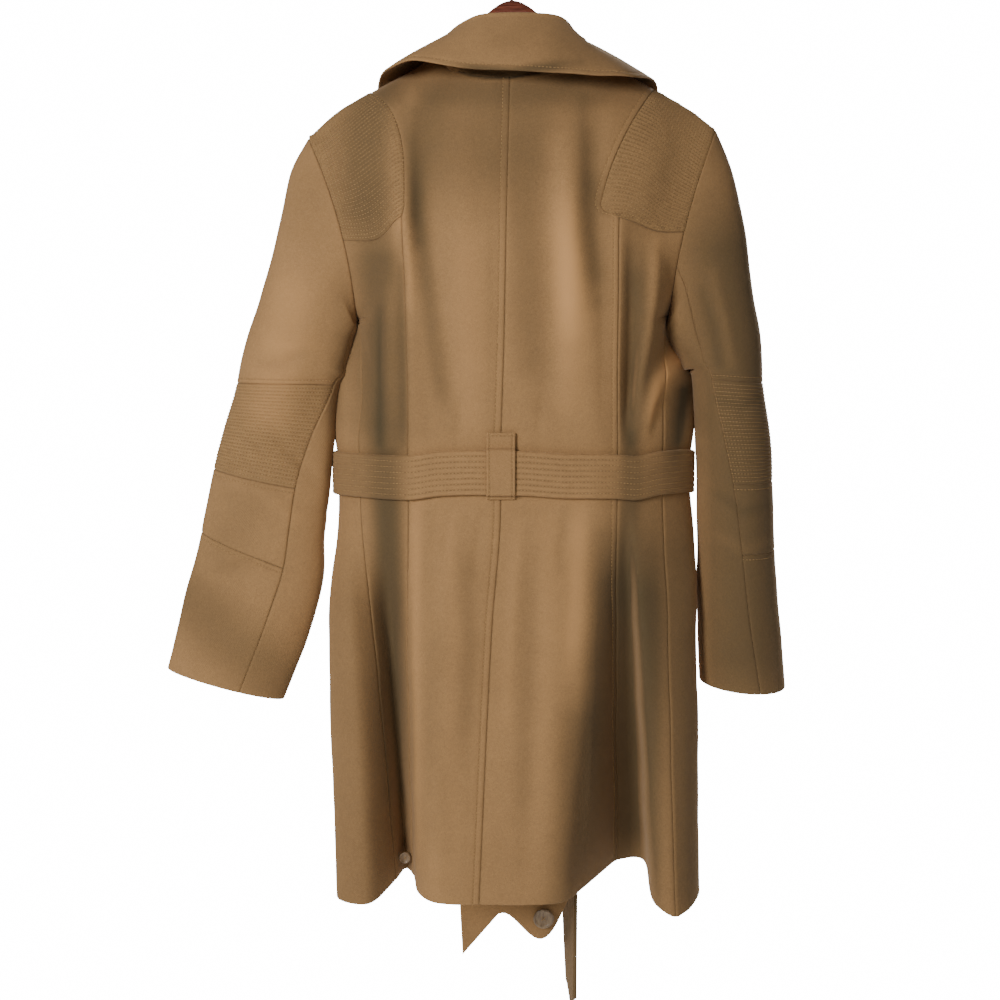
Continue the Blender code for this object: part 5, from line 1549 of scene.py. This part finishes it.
flat = np.stack([loops[..., 0].ravel(), loops[..., 2].ravel()], axis=-1)
piece = cloth_piece("belt_knot", loops.reshape(-1, 3), faces, wool, flat, np.zeros(index.size))
print("belt_knot", len(piece.data.polygons), "faces")

# %% [markdown]
# ## Stitches by Geometry Nodes
# Thousands of stitches follow a few hundred lines, which is what Geometry Nodes are for. The tree below
# turns lines into curves, sets points on them one stitch apart, and lays a small tapered thread along the
# curve at each point. A random scale with a fixed seed keeps the thread from looking printed. The result
# is realized, given its material and turned into a plain mesh, and the modifier goes away.


# %% Stitching tree
def stitching_tree():
    tree = bpy.data.node_groups.new("stitching", "GeometryNodeTree")
    face = tree.interface
    face.new_socket("Geometry", in_out="INPUT", socket_type="NodeSocketGeometry")
    for label, value in (("Pitch", 3.4 * MM), ("Length", 2.7 * MM), ("Thread", 0.45 * MM)):
        face.new_socket(label, in_out="INPUT", socket_type="NodeSocketFloat").default_value = value
    face.new_socket("Seed", in_out="INPUT", socket_type="NodeSocketInt").default_value = 7
    face.new_socket("Material", in_out="INPUT", socket_type="NodeSocketMaterial")
    face.new_socket("Geometry", in_out="OUTPUT", socket_type="NodeSocketGeometry")
    given, result = tree.nodes.new("NodeGroupInput").outputs, tree.nodes.new("NodeGroupOutput")
    curve = add(tree, "GeometryNodeMeshToCurve", {"Mesh": given["Geometry"]}).outputs[0]
    spaced = add(tree, "GeometryNodeResampleCurve", {"Curve": curve, "Length": given["Pitch"]}, mode="LENGTH")
    stitch = add(tree, "GeometryNodeMeshUVSphere", {"Segments": 5, "Rings": 3, "Radius": 1.0})
    ahead = add(tree, "GeometryNodeInputTangent").outputs[0]
    turn = add(tree, "FunctionNodeAlignRotationToVector", {"Vector": ahead}, axis="Z")
    links = {2: 0.42, 3: 0.54, "Seed": given["Seed"]}  # inputs 2 and 3 are the lowest and highest
    spread = add(tree, "FunctionNodeRandomValue", links, data_type="FLOAT").outputs[1]
    links = {"X": given["Thread"], "Y": given["Thread"], "Z": times(tree, given["Length"], spread)}
    scale = add(tree, "ShaderNodeCombineXYZ", links)
    laid = add(tree, "GeometryNodeInstanceOnPoints",
               {"Points": spaced.outputs[0], "Instance": stitch.outputs["Mesh"],
                "Rotation": turn.outputs[0], "Scale": scale.outputs[0]})
    real = add(tree, "GeometryNodeRealizeInstances", {"Geometry": laid.outputs[0]})
    shade = add(tree, "GeometryNodeSetShadeSmooth", {"Geometry": real.outputs[0]})
    links = {"Geometry": shade.outputs[0], "Material": given["Material"]}
    tree.links.new(add(tree, "GeometryNodeSetMaterial", links).outputs[0], result.inputs[0])
    return tree


stitching = stitching_tree()
print("stitching inputs:", [s.name for s in stitching.interface.items_tree if s.in_out == "INPUT"])


# %% Sewing
def sew(name, lines, pitch, length, thick, seed):
    """Lays stitches along lines and keeps them as one plain mesh; the sizes are in millimetres."""
    points, edges = [], []
    for line in lines:
        edges += [(len(points) + k, len(points) + k + 1) for k in range(len(line) - 1)]
        points += [tuple(p) for p in line]
    guide_mesh = bpy.data.meshes.new(name + "_guide")
    guide_mesh.from_pydata(points, edges, [])
    guide = bpy.data.objects.new(name + "_guide", guide_mesh)
    scene.collection.objects.link(guide)
    modifier = guide.modifiers.new("stitching", "NODES")
    modifier.node_group = stitching
    values = {"Pitch": pitch * MM, "Length": length * MM, "Thread": thick * MM,
              "Seed": seed, "Material": thread}
    for socket in stitching.interface.items_tree:
        if socket.in_out == "INPUT" and socket.name in values:
            modifier[socket.identifier] = values[socket.name]
    evaluated = guide.evaluated_get(bpy.context.evaluated_depsgraph_get())
    mesh = bpy.data.meshes.new_from_object(evaluated)
    mesh.name = name
    guide.modifiers.remove(modifier)
    bpy.data.objects.remove(guide, do_unlink=True)
    made_piece = bpy.data.objects.new(name, mesh)
    scene.collection.objects.link(made_piece)
    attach(made_piece, "root")
    print(name, "triangles:", sum(len(p.vertices) - 2 for p in mesh.polygons))


STITCHING = (
    # piece, groups of rows, pitch, length, half thickness, seed
    ("body_topstitching", ("body",), 4.0, 3.1, 0.42, 3),
    ("collar_topstitching", ("collar",), 4.0, 3.1, 0.42, 5),
    ("sleeve_topstitching", ("sleeve_left", "sleeve_right"), 4.0, 3.1, 0.42, 8),
    ("belt_topstitching", ("belt",), 4.0, 3.1, 0.42, 9),
    ("patch_quilting", ("patches_quilting",), 3.6, 2.7, 0.38, 11),
    ("elbow_quilting", ("sleeve_left_quilting", "sleeve_right_quilting"), 3.6, 2.7, 0.38, 13),
)
for name, groups, pitch, length, thick, seed in STITCHING:
    sew(name, [line for group in groups for line in stitch_rows[group]], pitch, length, thick, seed)

# %% [markdown]
# ## Buttons, hanger and hook
# The buttons are turned from horn: a raised rim, a dished middle and two crossed threads.
# The hanger is a bent wooden bar, deep in the middle, with dark red-brown lacquer over its grain, and
# its hook is bright wire. All three are turned or swept shapes, so each is a run of rings.


# %% Rings into a solid
def swept(name, loops, material):
    """A solid from a run of rings, closed by a fan of triangles at each end."""
    loops = np.array(loops)
    index = np.arange(loops[..., 0].size).reshape(loops.shape[:2])
    turned = np.roll(index, -1, axis=1)
    points = np.concatenate([loops.reshape(-1, 3), loops[[0, -1]].mean(axis=1)])
    hubs = np.full((2, loops.shape[1]), index.size) + [[0], [1]]
    fans = np.concatenate([np.stack([turned[0], index[0], hubs[0]], axis=-1),
                           np.stack([index[-1], turned[-1], hubs[1]], axis=-1)])
    piece = dressed(name, closed_mesh(name, points, [ring_faces(index), fans], material))
    return piece


# %% Horn
horn, tree, shader = principled("horn")
links = {"Vector": own_place(tree), "Scale": (1, 1, 0.25), "Rotation": (0.3, 0.2, 0.5)}
streak = noise(tree, add(tree, "ShaderNodeMapping", links).outputs[0], 260.0, 5.0, 0.6)
plug(tree, shader, {"Base Color": ramp(tree, streak, (0.32, 0.13, 0.08, 0.04), (0.72, 0.32, 0.22, 0.125)),
                    "Roughness": mapped(tree, streak, 0.28, 0.42)})
print("horn streaks run across each button")

# %% Buttons
BUTTONS = {
    # place, width, length of the thread shank
    "button_large": ((-42, -38, -1160), 26, 2),
    "button_small": ((126.5, 33, -1049), 14, 12),
}
BUTTON_THICK, SHANK = 4 * MM, (1.6 * MM, 1.45 * MM)
EYE_OUT, DISH = 0.17, 0.63  # where the threads end, as shares of the radius and the thickness
BUTTON_PROFILE = (  # share of the radius, share of the thickness
    (0.80, 0.02), (0.9, 0.1), (0.97, 0.26), (1.0, 0.5), (0.985, 0.74), (0.95, 0.9), (0.89, 0.985), (0.83, 1.0),
    (0.77, 0.96), (0.71, 0.84), (0.65, 0.74), (0.55, 0.68), (0.4, 0.64), (0.2, 0.62), (0.05, 0.62))
for name, (place, across, shank) in BUTTONS.items():
    radius, middle = across * MM / 2, np.array(place) * MM
    profile = [(SHANK[0], -shank * MM), (SHANK[1], 0.0)]
    profile += [(r * radius, h * BUTTON_THICK) for r, h in BUTTON_PROFILE]
    turns = [2 * math.pi * k / 48 for k in range(48)]
    loops = [[middle + np.array([r * math.cos(a), h, r * math.sin(a)]) for a in turns] for r, h in profile]
    swept(name, loops, horn)
    eye, face = EYE_OUT * radius, DISH * BUTTON_THICK
    lines = []
    for way in (1, -1):
        start, end = (middle + np.array([sx * eye, face, sx * way * eye]) for sx in (-1, 1))
        lines.append(np.array([start + (end - start) * t + np.array([0, 0.5 * MM * math.sin(math.pi * t), 0])
                               for t in np.linspace(0, 1, 7)]))
    sew(name + "_thread", lines, 1.1, 2.2, 0.42, 2)
    print(name, "across", across, "mm")

# %% Lacquered wood
wood, tree, shader = principled("lacquered_wood")
stretch = add(tree, "ShaderNodeMapping", {"Vector": own_place(tree), "Scale": (0.08, 1, 1)}).outputs[0]
fine = noise(tree, stretch, 420.0, 4.0, 0.6)
wide = noise(tree, stretch, 60.0, 3.0, 0.5)
both = plus(tree, times(tree, fine, 0.55), times(tree, wide, 0.45))
links = {"Height": fine, "Strength": 0.12, "Distance": 0.2 * MM}
plug(tree, shader, {"Base Color": ramp(tree, both, (0.36, 0.045, 0.008, 0.004), (0.66, 0.22, 0.05, 0.02)),
                    "Roughness": mapped(tree, fine, 0.2, 0.34),
                    "Normal": add(tree, "ShaderNodeBump", links).outputs[0],
                    "Coat Weight": 0.7, "Coat Roughness": 0.12})
print("wood grain runs along the hanger")

# %% Hanger
HANGER_END, HANGER_DROP = 203 * MM, 7.5 * MM
HANGER_RISE, HANGER_HALF = 23 * MM, 36 * MM
HANGER_MIDDLE, HANGER_TIP = (34 * MM, 13 * MM), (26 * MM, 22 * MM)  # height, thickness
ROUND_FROM, ROUND_OVER = 0.97, 0.0301  # shares of the arm where its end rounds off
END_LEAST, HUMP = 0.25, 2.2  # size left at the very end; reach of the middle's hump


def hanger_top(x):
    """The top of the wood: under the shoulder line, with a hump in the middle for the hook."""
    side = 1 if x >= 0 else -1
    line = ridge(side, x) - HANGER_DROP
    round_x = math.hypot(x, HANGER_HALF) - HANGER_HALF
    level = (RIDGE_TOP[1] + RIDGE_TOP[-1]) / 2 - RIDGE_SLOPE * round_x - HANGER_DROP
    near = max(1 - (abs(x) / (HUMP * HANGER_HALF)) ** 2, 0.0)
    return level + (line - level) * min(abs(x) / NECK_HALF, 1.0) + HANGER_RISE * near * near


loops = []
ends = [-1 + 0.03 * (1 - math.cos(math.pi * k / 12)) / 2 for k in range(12)]
stations = ends + list(np.linspace(-ROUND_FROM, ROUND_FROM, 110)) + [-s for s in ends[::-1]]
for s in stations:
    x, out = HANGER_END * s, abs(s)
    close = math.sqrt(max(1 - ((out - ROUND_FROM) / ROUND_OVER) ** 2, 0.0)) if out > ROUND_FROM else 1.0
    end = END_LEAST + (1 - END_LEAST) * close
    full = HANGER_MIDDLE[0] + (HANGER_TIP[0] - HANGER_MIDDLE[0]) * out
    height = full * end
    thick = (HANGER_MIDDLE[1] + (HANGER_TIP[1] - HANGER_MIDDLE[1]) * out ** 3) * end
    z = hanger_top(x) - (1 - end) * full / 2 - height / 2
    loops.append([(x, powered(math.cos(a), 0.75) * thick / 2, z + powered(math.sin(a), 0.75) * height / 2)
                  for a in (2 * math.pi * j / 32 for j in range(32))])
piece = swept("hanger_body", loops, wood)
print("hanger, metres:", [round(v, 3) for v in piece.dimensions])

# %% Bright wire
steel, tree, shader = principled("bright_wire")
scuff = noise(tree, own_place(tree), 900.0, 4.0, 0.6)
plug(tree, shader, {"Base Color": ramp(tree, scuff, (0, 0.5, 0.5, 0.5), (1, 0.72, 0.72, 0.71)),
                    "Roughness": mapped(tree, scuff, 0.16, 0.32), "Metallic": 1.0})
print("wire material:", steel.name)

# %% Hook
HOOK_INSIDE, WIRE = 18 * MM, 2 * MM
HOOK_FROM, HOOK_TURN = 236, 264  # degrees
WIRE_TIP = (1.0, 0.92, 0.72, 0.35)  # the rounded end of the wire
radius = HOOK_INSIDE + WIRE
centre = -HOOK_INSIDE
knots = [(0.0, hanger_top(0) + SEAM_GAP), (0.0, hanger_top(0) + 8 * MM),
         (-1.5 * MM, centre - radius - 4 * MM), (-6 * MM, centre - radius + 1.5 * MM)]
for k in range(15):
    a = math.radians(HOOK_FROM - HOOK_TURN * k / 14)
    knots.append((radius * math.cos(a), centre + radius * math.sin(a)))
line = through(np.array([[(x, 0.0, z)] for x, z in knots]), 6)[:, 0]
ahead = unit(np.gradient(line, axis=0))
ahead[0] = (0.0, 0.0, 1.0)
thin = (1.0,) * (len(line) - len(WIRE_TIP)) + WIRE_TIP
side_way = np.array([0.0, 1.0, 0.0])
loops = []
for point, way, share in zip(line, ahead, thin):
    up = np.cross(way, side_way)
    loops.append([point + WIRE * share * (math.cos(a) * side_way + math.sin(a) * up)
                  for a in (2 * math.pi * j / 20 for j in range(20))])
swept("hanger_hook", loops, steel)
print("hook wire", 2 * WIRE / MM, "mm thick")

# %% [markdown]
# ## What each piece was cut as
# Wool doesn't stretch much, so a panel's flat area is nearly the area it shows. Every sheet's width and
# length of the cloth it was cut from is printed, with its own area where the cut isn't a rectangle, so that
# anyone can check the pattern against the coat.

# %% Cut sizes
LEAST_SHARE = 0.31  # of the rectangle that a piece is cut from
for name, (width, length, area) in flat_sizes.items():
    width, length = math.ceil(width * 1000) / 1000, math.ceil(length * 1000) / 1000
    area = min(max(area, LEAST_SHARE * width * length), width * length)
    piece = sewn[name]
    print(name, "cut from", width, "by", length, "m, area", round(area, 4), "m2")

# %% Sizes and finish
final_box = [list(corner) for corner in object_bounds()]
grown = [round((b - a) - (d - c), 4) for a, b, c, d in zip(*final_box, *cad_box)]
print("grown by, metres:", grown)
total = sum(sum(len(p.vertices) - 2 for p in o.data.polygons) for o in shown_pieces() if o.type == "MESH")
print("triangles in all:", total)
